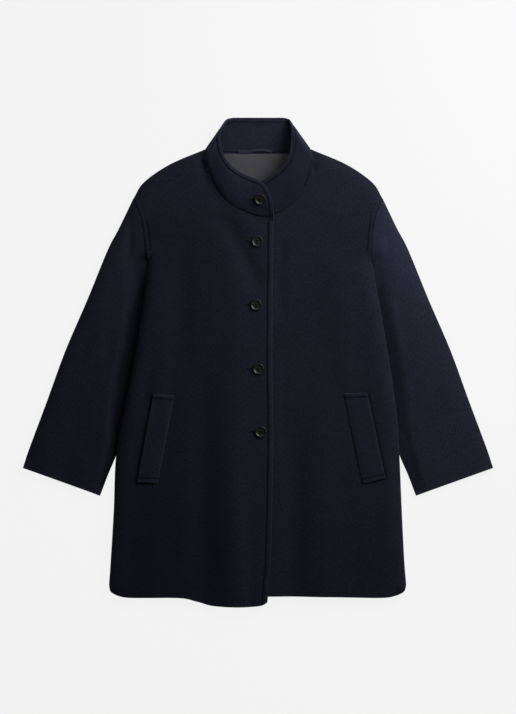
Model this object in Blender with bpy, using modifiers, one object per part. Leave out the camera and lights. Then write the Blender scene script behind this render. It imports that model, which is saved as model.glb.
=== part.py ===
"""Wool coat laid out flat on a surface.

An A-line coat with a standing collar, set-in sleeves, five buttons and two slanted welt pockets.
It lies on its back: +Z is up from the surface, +Y points to the collar, +X to the wearer's left.
Each cloth piece is a sheet ruled between its sewn edges in plan, lifted by a height that falls
round the folded edges, and given the cloth's thickness by Solidify.
"""

import math

import bmesh
import bpy
import numpy as np
from mathutils import Vector
from mathutils.bvhtree import BVHTree

# Cloth and sewing
WALL = 0.0024
COLLAR_WALL = 0.0036
WELT_WALL = 0.0032
LINING_WALL = 0.0008
LOOP_WALL = 0.0010
SEAM = 0.0003
SEAM_GROOVE = 0.0012
NECK_GAP = 0.0013
WELT_GAP = 0.0008

# Heights of the laid-out body
BODY_TOP = 0.024
HEM_TOP = 0.020
HEM_Y = -0.476
HEM_RISE = 0.22
SIDE_MID = 0.010
SHOULDER_MID = 0.012
FRONT_ROLL = 0.028
BACK_ROLL = 0.011
EDGE_CREST = 0.011
CREST_REACH = 0.050
OVERLAP_LIFT = 0.0034
OVERLAP_X = -0.034
OVERLAP_BLEND = 0.050
FOLD_SETTLE = 0.10
HEM_FADE = 0.20

# The body's side lies over the tucked inner edge of the sleeve between these two levels
TUCK_TOP_Y = 0.203
TUCK_LOW_Y = -0.190
TUCK_LIFT = 0.0135
TUCK_RAMP = 0.040
TUCK_SHAPE = 0.35

# Heights of the sleeves, from the armhole to the cuff
SLEEVE_STATIONS = (0.0, 0.06, 0.18, 0.5, 1.0)
SLEEVE_TOP = (0.0235, 0.0225, 0.0205, 0.0180, 0.0145)
SLEEVE_OUTER_MID = (0.0120, 0.0110, 0.0090, 0.0080, 0.0065)
SLEEVE_INNER_MID = (0.0095, 0.0070, 0.0062, 0.0062, 0.0062)
SLEEVE_OUTER_ROLL = 0.024
SLEEVE_INNER_ROLL = 0.040
SLEEVE_UNDER_ROLL = 0.008
ARMHOLE_FADE = 0.55
SEAM_END_SPREAD = 5.0
SLEEVE_ROW_POWER = 1.25

# Plan edges, rows of (x, y): photo-left is the wearer's right
RIGHT = {
    "hem_corner": ((-0.288, -0.471), (-0.2985, -0.464), (-0.3015, -0.450)),
    "side": ((-0.3015, -0.450), (-0.298, -0.400), (-0.292, -0.300), (-0.287, -0.188),
             (-0.269, -0.097), (-0.246, 0.022), (-0.2285, 0.138), (-0.224, 0.203)),
    "armhole": ((-0.224, 0.203), (-0.228, 0.237), (-0.236, 0.288), (-0.2515, 0.331)),
    "shoulder": ((-0.2515, 0.331), (-0.231, 0.363), (-0.179, 0.399), (-0.1065, 0.430)),
    "sleeve_outer": ((-0.2515, 0.331), (-0.281, 0.270), (-0.304, 0.226), (-0.345, 0.126), (-0.389, 0.024),
                     (-0.426, -0.077), (-0.464, -0.179), (-0.475, -0.214)),
    "sleeve_inner": ((-0.224, 0.203), (-0.2235, 0.148), (-0.231, 0.085), (-0.237, 0.022),
                     (-0.251, -0.053), (-0.262, -0.097), (-0.276, -0.156), (-0.290, -0.190),
                     (-0.304, -0.230), (-0.319, -0.270)),
}
LEFT = {
    "hem_corner": ((0.286, -0.470), (0.2965, -0.463), (0.300, -0.450)),
    "side": ((0.300, -0.450), (0.296, -0.400), (0.291, -0.300), (0.286, -0.187),
             (0.279, -0.097), (0.262, 0.022), (0.2415, 0.138), (0.231, 0.203)),
    "armhole": ((0.231, 0.203), (0.231, 0.237), (0.237, 0.288), (0.2515, 0.331)),
    "shoulder": ((0.2515, 0.331), (0.231, 0.363), (0.179, 0.399), (0.1065, 0.430)),
    "sleeve_outer": ((0.2515, 0.331), (0.281, 0.270), (0.304, 0.226), (0.345, 0.126), (0.389, 0.024),
                     (0.426, -0.077), (0.464, -0.179), (0.475, -0.214)),
    "sleeve_inner": ((0.231, 0.203), (0.2355, 0.150), (0.245, 0.085), (0.253, 0.022),
                     (0.264, -0.053), (0.2715, -0.097), (0.282, -0.150), (0.2895, -0.188),
                     (0.304, -0.230), (0.319, -0.270)),
}
RIGHT_HEM = ((-0.288, -0.471), (-0.257, -0.476), (-0.160, -0.4765), (-0.124, -0.484), (-0.092, -0.4925),
             (-0.038, -0.4945), (0.004, -0.492), (0.019, -0.485))
LEFT_HEM = ((0.286, -0.470), (0.250, -0.476), (0.150, -0.4745), (0.060, -0.4735), (-0.029, -0.474))
RIGHT_CLOSING_LOW = ((0.019, -0.485), (0.020, -0.475), (0.0208, -0.463))
RIGHT_CLOSING = ((0.0208, -0.463), (0.027, -0.373), (0.031, -0.150), (0.029, 0.000), (0.0308, 0.215))
RIGHT_CLOSING_TOP = ((0.0308, 0.215), (0.0312, 0.250), (0.0317, 0.294))
LEFT_CLOSING_LOW = ((-0.029, -0.474), (-0.029, -0.464), (-0.029, -0.453))
LEFT_CLOSING = ((-0.029, -0.453), (-0.029, -0.150), (-0.029, 0.215))
LEFT_CLOSING_TOP = ((-0.029, 0.215), (-0.029, 0.250), (-0.029, 0.294))
BACK_NECK_DIP = 0.0075
BACK_NECK_START = 0.75

# Number of rows along each stretch of the body's edge
HEM_CORNER_ROWS = 3
LONG_SIDE_ROWS = 13
SIDE_ROWS = HEM_CORNER_ROWS + LONG_SIDE_ROWS
ARMHOLE_LOW_ROWS = 2
ARMHOLE_ROWS = 5
SHOULDER_ROWS = 5
SLEEVE_ROWS = 15
FRONT_COLUMNS = (0.0, 0.0015, 0.008, 0.024, 0.055, 0.10, 0.16, 0.240, 0.340, 0.450,
                 0.560, 0.670, 0.780, 0.890, 1.0)
BACK_COLUMNS = (0.0, 0.0006, 0.004, 0.010, 0.020, 0.045, 0.095, 0.20, 0.35)
SLEEVE_FOLD_COLUMNS = (0.0, 0.004, 0.018, 0.050)
CURVE_STEPS = 24
FINE_STEPS = 400

# Soft folds of the fronts: a line from (x0, y0) to (x1, y1), its half width and its height there
FOLD_FADE = 0.35
FOLD_COLUMNS = ("x0", "y0", "x1", "y1", "half_width", "height")
FOLDS = (
    (-0.108, 0.060, -0.118, -0.500, 0.026, -0.0046),
    (-0.070, -0.120, -0.050, -0.520, 0.034, 0.0052),
    (-0.040, 0.250, -0.010, 0.130, 0.020, -0.0022),
    (0.075, -0.060, 0.070, -0.500, 0.024, -0.0030),
    (0.125, 0.020, 0.130, -0.500, 0.034, 0.0030),
    (-0.190, 0.240, -0.205, -0.060, 0.026, 0.0026),
)

# Collar ribs: foot and top of the band's outer face, from the upper front end round the neck
# to the under end
RIB_COLUMNS = ("foot_x", "foot_y", "foot_z", "top_x", "top_y", "top_z")
COLLAR_RIBS = (
    (0.0317, 0.2940, 0.0278, 0.0308, 0.3120, 0.0335),
    (0.0250, 0.2935, 0.0278, 0.0270, 0.3335, 0.0395),
    (0.0130, 0.2935, 0.0277, 0.0145, 0.3570, 0.0445),
    (-0.0080, 0.2970, 0.0275, -0.0010, 0.3670, 0.0470),
    (-0.0400, 0.3110, 0.0264, -0.0290, 0.3790, 0.0480),
    (-0.0660, 0.3280, 0.0247, -0.0520, 0.3945, 0.0470),
    (-0.0860, 0.3540, 0.0240, -0.0680, 0.4170, 0.0430),
    (-0.0980, 0.3810, 0.0232, -0.0745, 0.4460, 0.0345),
    (-0.1050, 0.4100, 0.0228, -0.0735, 0.4720, 0.0260),
    (-0.1065, 0.4304, 0.0118, -0.0660, 0.4885, 0.0115),
    (-0.0960, 0.4290, 0.0010, -0.0560, 0.4940, 0.0010),
    (-0.0600, 0.4256, 0.0, -0.0300, 0.4945, 0.0),
    (0.0, 0.4226, 0.0, 0.0, 0.4945, 0.0),
    (0.0600, 0.4256, 0.0, 0.0300, 0.4945, 0.0),
    (0.0960, 0.4290, 0.0010, 0.0560, 0.4940, 0.0010),
    (0.1065, 0.4304, 0.0118, 0.0650, 0.4885, 0.0115),
    (0.1065, 0.4090, 0.0228, 0.0665, 0.4710, 0.0260),
    (0.1015, 0.3830, 0.0232, 0.0660, 0.4450, 0.0330),
    (0.0930, 0.3560, 0.0240, 0.0630, 0.4220, 0.0390),
    (0.0770, 0.3300, 0.0240, 0.0550, 0.4030, 0.0410),
    (0.0530, 0.3090, 0.0240, 0.0380, 0.3860, 0.0405),
    (0.0340, 0.3000, 0.0236, 0.0235, 0.3745, 0.0390),
    (0.0180, 0.2950, 0.0228, 0.0090, 0.3655, 0.0368),
    (0.0020, 0.2935, 0.0220, -0.0030, 0.3570, 0.0345),
    (-0.0100, 0.2938, 0.0214, -0.0100, 0.3400, 0.0300),
)
RIGHT_NECK_RIBS = (1, 8)
LEFT_NECK_RIBS = (23, 16)
COLLAR_RISE_ROWS = 5
COLLAR_BULGE = 0.0030
COLLAR_BULGE_FLOOR = 0.0222

# Small pieces
LINING_X = (-0.080, 0.080)
LINING_Y = (0.335, 0.4215)
LINING_COLUMNS = 5
LINING_ROWS = 4
LOOP_X = (-0.040, 0.028)
LOOP_Y = 0.4255
LOOP_WIDTH = 0.006
LOOP_ARCH = 0.0035
LOOP_ARCH_START = 0.35
LOOP_LIFT_SHARE = 0.5
LOOP_COLUMNS = 13
WELTS = {
    "welt_right": ((-0.211, -0.064), (-0.1675, -0.067), (-0.244, -0.2425), (-0.2015, -0.245)),
    "welt_left": ((0.2195, -0.061), (0.172, -0.063), (0.257, -0.2345), (0.2095, -0.246)),
}
WELT_COLUMNS = 8
WELT_ROWS = 18
BUTTON_RADIUS = 0.0115
BUTTON_PROFILE = ((0.0, 0.0024), (0.0072, 0.0024), (0.0084, 0.0036), (0.0102, 0.0040), (0.0113, 0.0033),
                  (0.0115, 0.0021), (0.0104, 0.0006), (0.0086, 0.0), (0.0, 0.0))
BUTTON_STEPS = 20
BUTTON_HOLE_RADIUS = 0.0011
BUTTON_HOLE_OFFSET = 0.0022
HOLE_SIDES = 8
HOLE_PIN_DEPTH = 0.012
MERGE = 0.00001
COLLAR_BUTTON = (0.0045, 0.327)
FRONT_BUTTONS = ((-0.0014, 0.243), (-0.004, 0.115), (0.001, -0.014), (0.005, -0.1405))

NAVY = (0.011, 0.012, 0.021, 1.0)
LINING_GREY = (0.068, 0.066, 0.078, 1.0)
HORN_BLACK = (0.012, 0.010, 0.010, 1.0)


def smooth_path(rows, count):
    """Points at even steps along a smooth curve through the rows."""
    rows = np.asarray(rows, float)
    ends = np.vstack([2 * rows[0] - rows[1], rows, 2 * rows[-1] - rows[-2]])
    pieces = []
    for index in range(len(rows) - 1):
        before, start, stop, after = ends[index:index + 4]
        t = np.linspace(0.0, 1.0, CURVE_STEPS, endpoint=False)[:, None]
        bend = (2 * before - 5 * start + 4 * stop - after) * t ** 2
        twist = (3 * start - before - 3 * stop + after) * t ** 3
        pieces.append(0.5 * (2 * start + (stop - before) * t + bend + twist))
    curve = np.vstack(pieces + [rows[-1:]])
    length = run_lengths(curve)
    wanted = np.linspace(0.0, length[-1], count)
    return np.stack([np.interp(wanted, length, curve[:, axis]) for axis in range(curve.shape[1])], axis=1)


def along(rows, fractions):
    """Points at the given fractions of a smooth curve's length."""
    fine = smooth_path(rows, FINE_STEPS)
    position = np.linspace(0.0, 1.0, len(fine))
    return np.stack([np.interp(fractions, position, fine[:, axis]) for axis in range(fine.shape[1])], axis=1)


def run_lengths(points):
    """Length from the first point to each point of a line."""
    return np.concatenate([[0.0], np.cumsum(np.linalg.norm(np.diff(points, axis=0), axis=1))])


def chain(*stretches):
    """Join stretches whose ends meet, each given as (rows, number of steps)."""
    points = [smooth_path(rows, steps + 1) for rows, steps in stretches]
    return np.vstack([points[0]] + [stretch[1:] for stretch in points[1:]])


def distance_to(points, line):
    """Plan distance from each point to a line of straight segments."""
    start = line[:-1]
    run = line[1:] - start
    offset = points[..., None, :] - start
    part = np.clip((offset * run).sum(-1) / (run * run).sum(-1), 0.0, 1.0)
    gap = offset - part[..., None] * run
    return np.sqrt((gap * gap).sum(-1)).min(-1)


def roll(distance, width):
    """Quarter-round rise from 0 at a folded edge to 1 at the given width inside it."""
    inside = np.clip(distance / width, 0.0, 1.0)
    return np.sqrt(np.maximum(0.0, 1.0 - (1.0 - inside) ** 2))


def ease(value):
    """Smooth step from 0 to 1."""
    value = np.clip(value, 0.0, 1.0)
    return value * value * (3.0 - 2.0 * value)


def ruled(outer, inner, columns, first=None):
    """Straight rows between two edges, the first rows bent to follow a given edge."""
    u = np.asarray(columns)[None, :, None]
    plan = (1.0 - u) * outer[:, None, :] + u * inner[:, None, :]
    if first is not None:
        weight = np.clip(1.0 - run_lengths(outer) / HEM_FADE, 0.0, 1.0) ** 2
        plan = plan + weight[:, None, None] * (along(first, columns) - plan[0])[None]
    return plan


def tuck_lift(y):
    """How far the body's side is lifted by the sleeve's edge under it."""
    share = np.clip((y - TUCK_LOW_Y) / (TUCK_TOP_Y - TUCK_LOW_Y), 0.0, 1.0)
    return TUCK_LIFT * np.sin(math.pi * share) ** TUCK_SHAPE


def fold_height(plan):
    """Sum of the soft folds, each fading towards the ends of its line."""
    total = np.zeros(plan.shape[:-1])
    for row in FOLDS:
        fold = dict(zip(FOLD_COLUMNS, row))
        start = np.array((fold["x0"], fold["y0"]))
        run = np.array((fold["x1"], fold["y1"])) - start
        share = ((plan - start) * run).sum(-1) / (run * run).sum()
        across = distance_to(plan, np.array((start, start + run)))
        fade = ease(share / FOLD_FADE) * ease((1.0 - share) / FOLD_FADE + 1.0)
        total += fold["height"] * fade * np.exp(-(across / fold["half_width"]) ** 2)
    return total


def body_edge(side):
    """Outer edge of the body in plan: hem corner, foot of the armhole, shoulder point, neck point."""
    return chain((side["hem_corner"], HEM_CORNER_ROWS), (side["side"], LONG_SIDE_ROWS),
                 (side["armhole"], ARMHOLE_ROWS), (side["shoulder"], SHOULDER_ROWS))


RIGHT_EDGE = body_edge(RIGHT)
LEFT_EDGE = body_edge(LEFT)
SHOULDER_START = SIDE_ROWS + ARMHOLE_ROWS


def side_fold(edge):
    """The stretch of the body's edge that is a folded side."""
    return edge[:SIDE_ROWS + 1]


def shoulder_fold(edge):
    """The stretch of the body's edge that is the shoulder."""
    return edge[SHOULDER_START:]


def front_height(plan, edge, upper):
    """Height of a front's outer face: a soft top that rolls down to the side and shoulder seams."""
    y = plan[..., 1]
    to_side = distance_to(plan, side_fold(edge))
    to_shoulder = distance_to(plan, shoulder_fold(edge))
    lift = tuck_lift(y)
    crest = np.exp(-(to_side / CREST_REACH) ** 2)
    level = HEM_TOP + (BODY_TOP - HEM_TOP) * ease((y - HEM_Y) / HEM_RISE)
    settle = roll(np.minimum(to_side, to_shoulder), FOLD_SETTLE) ** 2
    level = level + fold_height(plan) * settle + lift * crest
    side_mid = SIDE_MID + SEAM_GROOVE / 2 + lift
    side_top = np.maximum(level, side_mid + EDGE_CREST * crest)
    drop = (side_top - side_mid) * (1.0 - roll(to_side, FRONT_ROLL))
    drop = drop + (level - SHOULDER_MID - SEAM_GROOVE / 2) * (1.0 - roll(to_shoulder, FRONT_ROLL))
    over = OVERLAP_LIFT * ease((plan[..., 0] - OVERLAP_X) / OVERLAP_BLEND + 1.0) if upper else 0.0
    return side_top - drop + over


def back_height(plan):
    """Height of the back's outer face: flat on the surface, rolled up at the sides and shoulders."""
    y = plan[..., 1]
    lift = tuck_lift(y)
    height = np.zeros(plan.shape[:-1])
    for edge in (RIGHT_EDGE, LEFT_EDGE):
        to_side = distance_to(plan, side_fold(edge))
        to_shoulder = distance_to(plan, shoulder_fold(edge))
        ramp = 1.0 - ease((to_side - BACK_ROLL) / TUCK_RAMP)
        height = height + lift * ramp + (SIDE_MID - SEAM_GROOVE / 2) * (1.0 - roll(to_side, BACK_ROLL))
        height = height + (SHOULDER_MID - SEAM_GROOVE / 2) * (1.0 - roll(to_shoulder, BACK_ROLL))
    return height


def collar_feet(span):
    """Plan points of the neck seam between two ribs."""
    first, last = span
    step = 1 if last > first else -1
    return [COLLAR_RIBS[index][:2] for index in range(first, last + step, step)]


def front_sheet(upper):
    """Outer face of one front as a grid of points."""
    edge = RIGHT_EDGE if upper else LEFT_EDGE
    hem = RIGHT_HEM if upper else LEFT_HEM
    closing_low = RIGHT_CLOSING_LOW if upper else LEFT_CLOSING_LOW
    closing = RIGHT_CLOSING if upper else LEFT_CLOSING
    closing_top = RIGHT_CLOSING_TOP if upper else LEFT_CLOSING_TOP
    closed = chain((closing_low, HEM_CORNER_ROWS), (closing, LONG_SIDE_ROWS), (closing_top, ARMHOLE_LOW_ROWS))
    neck = collar_feet(RIGHT_NECK_RIBS if upper else LEFT_NECK_RIBS)
    plan = ruled(edge, np.vstack([closed, neck]), FRONT_COLUMNS, hem)
    return np.dstack([plan, front_height(plan, edge, upper)])


def back_sheet():
    """Outer face of the back as a grid of points."""
    half = np.array(BACK_COLUMNS)
    columns = np.concatenate([half, [0.5], 1.0 - half[::-1]])
    plan = ruled(RIGHT_EDGE, LEFT_EDGE, columns)
    rise = np.linspace(0.0, 1.0, len(plan))
    neck = np.clip((rise - BACK_NECK_START) / (1.0 - BACK_NECK_START), 0.0, 1.0) ** 2
    plan[..., 1] -= BACK_NECK_DIP * neck[:, None] * np.sin(math.pi * columns)[None, :]
    return np.dstack([plan, back_height(plan)])


def sleeve_sheet(side, edge, sign):
    """Outer face of a sleeve as rings from the armhole to the cuff: over the top, then back underneath."""
    seam = edge[SHOULDER_START:SIDE_ROWS - 1:-1]
    length = run_lengths(seam)
    corners = length / length[-1]
    fold = np.array(SLEEVE_FOLD_COLUMNS)
    columns = np.unique(np.concatenate([fold, corners[1:-1], 1.0 - fold]))
    armhole = np.stack([np.interp(columns, corners, seam[:, axis]) for axis in (0, 1)], axis=1)
    stations = np.linspace(0.0, 1.0, SLEEVE_ROWS + 1) ** SLEEVE_ROW_POWER
    outer = along(side["sleeve_outer"], stations)
    inner = along(side["sleeve_inner"], stations)
    u = columns[None, :, None]
    plan = (1.0 - u) * outer[:, None, :] + u * inner[:, None, :]
    weight = np.clip(1.0 - stations / ARMHOLE_FADE, 0.0, 1.0) ** 2
    plan = plan + weight[:, None, None] * (armhole - plan[0])[None]
    ends = 1.0 + SEAM_END_SPREAD * np.abs(2.0 * columns - 1.0) ** 4
    plan[..., 0] += sign * SEAM * (weight ** 4)[:, None] * ends[None, :]
    top = np.interp(stations, SLEEVE_STATIONS, SLEEVE_TOP)[:, None]
    outer_mid = np.interp(stations, SLEEVE_STATIONS, SLEEVE_OUTER_MID)[:, None]
    inner_mid = np.interp(stations, SLEEVE_STATIONS, SLEEVE_INNER_MID)[:, None]
    to_outer = distance_to(plan, plan[:, 0])
    to_inner = distance_to(plan, plan[:, -1])
    upper = top - (top - outer_mid) * (1.0 - roll(to_outer, SLEEVE_OUTER_ROLL))
    upper = upper - (top - inner_mid) * (1.0 - roll(to_inner, SLEEVE_INNER_ROLL))
    lower = outer_mid * (1.0 - roll(to_outer, SLEEVE_UNDER_ROLL))
    lower = lower + inner_mid * (1.0 - roll(to_inner, SLEEVE_UNDER_ROLL))
    over = np.dstack([plan, upper])
    under = np.dstack([plan, lower])[:, -2:0:-1]
    return np.concatenate([over, under], axis=1)


def collar_sheet():
    """Outer face of the collar band: rows from the neck seam to the top edge along every rib."""
    rib = dict(zip(RIB_COLUMNS, np.array(COLLAR_RIBS).T))
    foot = np.stack([rib["foot_x"], rib["foot_y"], rib["foot_z"]], axis=1)
    top = np.stack([rib["top_x"], rib["top_y"], rib["top_z"]], axis=1)
    lean = top[:, :2] - foot[:, :2]
    lean = lean / np.linalg.norm(lean, axis=1)[:, None]
    foot[:, :2] += NECK_GAP * lean
    rise = np.linspace(0.0, 1.0, COLLAR_RISE_ROWS + 1)[:, None, None]
    sheet = (1.0 - rise) * foot[None] + rise * top[None]
    bulge = COLLAR_BULGE * np.sin(math.pi * rise[..., 0])
    sheet[..., 2] += bulge * np.clip((foot[:, 2] - COLLAR_BULGE_FLOOR) / COLLAR_BULGE, 0.0, 1.0)[None, :]
    sheet[..., 2] = np.maximum(sheet[..., 2], 0.0)
    return sheet


def welt_sheet(corners, front):
    """Under face of a welt: a slanted strip read off its front and moved out."""
    outer_top, inner_top, outer_low, inner_low = (np.array(corner) for corner in corners)
    up = np.linspace(0.0, 1.0, WELT_ROWS + 1)[:, None]
    outer = outer_low + (outer_top - outer_low) * up
    inner = inner_low + (inner_top - inner_low) * up
    plan = ruled(outer, inner, np.linspace(0.0, 1.0, WELT_COLUMNS + 1))
    return np.dstack([plan, heights_on(front, plan) + WELT_GAP])


def lining_sheet():
    """Under face of the flat patch of lining inside the back neck."""
    across, up = np.meshgrid(np.linspace(*LINING_X, LINING_COLUMNS), np.linspace(*LINING_Y, LINING_ROWS))
    return np.dstack([across, up, np.full(across.shape, WALL + SEAM)])


def loop_sheet():
    """Under face of the hanger loop: a narrow band, straight at one end and arched at the other."""
    run = np.linspace(0.0, 1.0, LOOP_COLUMNS)
    arched = np.clip((run - LOOP_ARCH_START) / (1.0 - LOOP_ARCH_START), 0.0, 1.0)
    arch = LOOP_ARCH * np.sin(math.pi * arched)
    x = LOOP_X[0] + (LOOP_X[1] - LOOP_X[0]) * run
    z = COLLAR_WALL + SEAM + LOOP_LIFT_SHARE * arch
    edges = (LOOP_Y - LOOP_WIDTH / 2, LOOP_Y + LOOP_WIDTH / 2)
    return np.array([np.stack([x, edge + arch, z], axis=1) for edge in edges])


def clear_scene():
    """Remove every object that the scene starts with."""
    for item in list(bpy.data.objects):
        bpy.data.objects.remove(item, do_unlink=True)


def new_collection(name):
    """A collection of this name in the scene."""
    collection = bpy.data.collections.new(name)
    bpy.context.scene.collection.children.link(collection)
    return collection


def finish(name, colour, roughness):
    """Principled material of one colour."""
    material = bpy.data.materials.new(name)
    material.use_nodes = True
    shader = material.node_tree.nodes["Principled BSDF"]
    shader.inputs["Base Color"].default_value = colour
    shader.inputs["Roughness"].default_value = roughness
    return material


def cloth_piece(name, sheet, wall, material, collection, closed=False, inwards=True):
    """A grid of points made a wall of cloth; the wall is on the inner side of the given face."""
    rows, columns = sheet.shape[:2]
    mesh = bpy.data.meshes.new(name)
    body = bmesh.new()
    verts = [[body.verts.new(point) for point in row] for row in sheet]
    spans = columns if closed else columns - 1
    for row in range(rows - 1):
        for column in range(spans):
            beside = (column + 1) % columns
            low, high = verts[row], verts[row + 1]
            body.faces.new((low[column], low[beside], high[beside], high[column]))
    body.to_mesh(mesh)
    body.free()
    mesh.shade_smooth()
    piece = bpy.data.objects.new(name, mesh)
    collection.objects.link(piece)
    solidify = piece.modifiers.new("wall", "SOLIDIFY")
    solidify.thickness = wall
    solidify.offset = -1.0 if inwards else 1.0
    solidify.use_even_offset = False
    solidify.use_quality_normals = True
    mesh.materials.append(material)
    return piece


def button_mesh():
    """Turned outline of a button, a raised rim round a flat dish."""
    mesh = bpy.data.meshes.new("button_profile")
    points = [(radius, 0.0, height) for radius, height in BUTTON_PROFILE]
    mesh.from_pydata(points, [(index, index + 1) for index in range(len(points) - 1)], [])
    return mesh


def hole_cutters(name, collection):
    """Four pins that bore the button's sewing holes."""
    mesh = bpy.data.meshes.new(name)
    body = bmesh.new()
    for turn in range(4):
        angle = math.pi / 4 + turn * math.pi / 2
        pin = bmesh.ops.create_cone(body, cap_ends=True, segments=HOLE_SIDES, radius1=BUTTON_HOLE_RADIUS,
                                    radius2=BUTTON_HOLE_RADIUS, depth=HOLE_PIN_DEPTH)
        place = Vector((math.cos(angle), math.sin(angle), 0.0)) * BUTTON_HOLE_OFFSET
        bmesh.ops.translate(body, verts=pin["verts"], vec=place)
    body.to_mesh(mesh)
    body.free()
    cutter = bpy.data.objects.new(name, mesh)
    cutter.hide_render = True
    cutter.display_type = "WIRE"
    collection.objects.link(cutter)
    return cutter


def add_button(name, place, normal, material, parts, cutters):
    """A four-hole button lying on the cloth at a place, square to the cloth's face."""
    mesh = button_mesh()
    mesh.materials.append(material)
    button = bpy.data.objects.new(name, mesh)
    parts.objects.link(button)
    button.location = Vector(place) + Vector(normal) * SEAM
    button.rotation_mode = "QUATERNION"
    button.rotation_quaternion = Vector((0.0, 0.0, 1.0)).rotation_difference(Vector(normal))
    turn = button.modifiers.new("turn", "SCREW")
    turn.steps = BUTTON_STEPS
    turn.render_steps = BUTTON_STEPS
    turn.use_merge_vertices = True
    turn.merge_threshold = MERGE
    cutter = hole_cutters(name + "_holes", cutters)
    cutter.location = button.location
    cutter.rotation_mode = "QUATERNION"
    cutter.rotation_quaternion = button.rotation_quaternion
    holes = button.modifiers.new("holes", "BOOLEAN")
    holes.operation = "DIFFERENCE"
    holes.object = cutter
    return button


def heights_on(sheet, plan):
    """Highest spot of a sheet's faces at places in plan, each face split along both its diagonals."""
    rows, columns = sheet.shape[:2]
    number = np.arange(rows * columns).reshape(rows, columns)
    a, b, c, d = number[:-1, :-1], number[:-1, 1:], number[1:, 1:], number[1:, :-1]
    halves = ((a, b, c), (a, c, d), (a, b, d), (b, c, d))
    faces = np.vstack([np.stack(half, axis=-1).reshape(-1, 3) for half in halves]).tolist()
    tree = BVHTree.FromPolygons([Vector(point) for point in sheet.reshape(-1, 3)], faces)
    down = Vector((0.0, 0.0, -1.0))
    hits = [tree.ray_cast(Vector((x, y, 1.0)), down)[0].z for x, y in plan.reshape(-1, 2)]
    return np.array(hits).reshape(plan.shape[:-1])


def seat_on(sheet, x, y):
    """Point and normal of the plane a button lies on: along the cloth's slope, clear of its highest spot."""
    turn = np.linspace(0.0, 2.0 * math.pi, BUTTON_STEPS, endpoint=False)
    ring = np.stack([np.cos(turn), np.sin(turn)], axis=1) * BUTTON_RADIUS
    spots = np.vstack([ring, 0.5 * ring, [[0.0, 0.0]]])
    height = heights_on(sheet, spots + np.array((x, y)))
    slope = np.linalg.lstsq(np.column_stack([spots, np.ones(len(spots))]), height, rcond=None)[0]
    rise = float((height - spots @ slope[:2]).max())
    return (x, y, rise), Vector((-slope[0], -slope[1], 1.0)).normalized()


def build():
    """Build every piece of the coat."""
    clear_scene()
    parts = new_collection("wool_coat")
    cutters = new_collection("cutters")
    wool = finish("navy_wool", NAVY, 0.9)
    satin = finish("grey_lining", LINING_GREY, 0.5)
    horn = finish("black_button", HORN_BLACK, 0.3)

    cloth_piece("back", back_sheet(), WALL, wool, parts, inwards=False)
    front_right = front_sheet(True)
    front_left = front_sheet(False)[:, ::-1]
    cloth_piece("front_right", front_right, WALL, wool, parts)
    cloth_piece("front_left", front_left, WALL, wool, parts)
    sleeve_right = sleeve_sheet(RIGHT, RIGHT_EDGE, -1.0)[:, ::-1]
    sleeve_left = sleeve_sheet(LEFT, LEFT_EDGE, 1.0)
    cloth_piece("sleeve_right", sleeve_right, WALL, wool, parts, closed=True)
    cloth_piece("sleeve_left", sleeve_left, WALL, wool, parts, closed=True)
    collar = collar_sheet()[:, ::-1]
    cloth_piece("collar", collar, COLLAR_WALL, wool, parts)
    for name, corners in WELTS.items():
        right = name == "welt_right"
        sheet = welt_sheet(corners, front_right if right else front_left)
        cloth_piece(name, sheet if right else sheet[:, ::-1], WELT_WALL, wool, parts, inwards=False)
    cloth_piece("lining_back_neck", lining_sheet(), LINING_WALL, satin, parts, inwards=False)
    cloth_piece("hanger_loop", loop_sheet(), LOOP_WALL, wool, parts, inwards=False)

    place, normal = seat_on(collar, *COLLAR_BUTTON)
    add_button("button_1", place, normal, horn, parts, cutters)
    for number, spot in enumerate(FRONT_BUTTONS, start=2):
        place, normal = seat_on(front_right, *spot)
        add_button(f"button_{number}", place, normal, horn, parts, cutters)


if __name__ == "__main__":
    build()
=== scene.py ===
"""Looks of a navy wool coat laid out flat and seen straight from above.

Each cut piece is a shell worked out on a grid: a plan ruled between the piece's sewn edges, a height
that rolls down at folded edges, soft folds, and grooves where the edges are topstitched.
Lengths are in metres; +Y points to the collar and +X to the wearer's left.
"""

import logging
import math
from dataclasses import dataclass, field
from enum import Enum
from typing import Any, Callable, Union

import bpy
import numpy as np
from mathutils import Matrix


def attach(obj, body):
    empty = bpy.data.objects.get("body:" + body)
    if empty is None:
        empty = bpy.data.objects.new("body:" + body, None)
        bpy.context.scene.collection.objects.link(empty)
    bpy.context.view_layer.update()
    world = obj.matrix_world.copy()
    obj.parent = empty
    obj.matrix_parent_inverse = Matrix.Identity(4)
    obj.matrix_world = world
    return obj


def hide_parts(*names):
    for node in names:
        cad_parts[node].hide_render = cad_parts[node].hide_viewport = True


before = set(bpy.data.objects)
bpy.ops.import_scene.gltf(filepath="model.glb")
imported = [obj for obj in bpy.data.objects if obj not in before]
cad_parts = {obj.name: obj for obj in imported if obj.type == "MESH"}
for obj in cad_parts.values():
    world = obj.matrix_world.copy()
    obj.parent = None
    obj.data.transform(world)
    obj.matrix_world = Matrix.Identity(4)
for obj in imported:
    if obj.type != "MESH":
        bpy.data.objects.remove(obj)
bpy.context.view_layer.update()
LOG = logging.getLogger("wool_coat")
BODY_NAME = "root"

Array = np.ndarray
Rows = tuple[tuple[float, ...], ...]
Ground = Callable[[Array], Array]


class Slot(Enum):
    """Material slots of the record."""

    WOOL = "wool"
    LINING = "lining"
    BUTTON = "button"


class Wearer(Enum):
    """Which half of the coat a piece belongs to, as the wearer sees it; the value is the sign of X."""

    RIGHT = -1.0
    LEFT = 1.0

    @property
    def word(self) -> str:
        """The half's word in names of pieces."""
        return self.name.lower()


def by_wearer(right: Any, left: Any) -> Any:
    """Dataclass field that holds one value for each half of the coat."""
    return field(default_factory=lambda: {Wearer.RIGHT: right, Wearer.LEFT: left})


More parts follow.
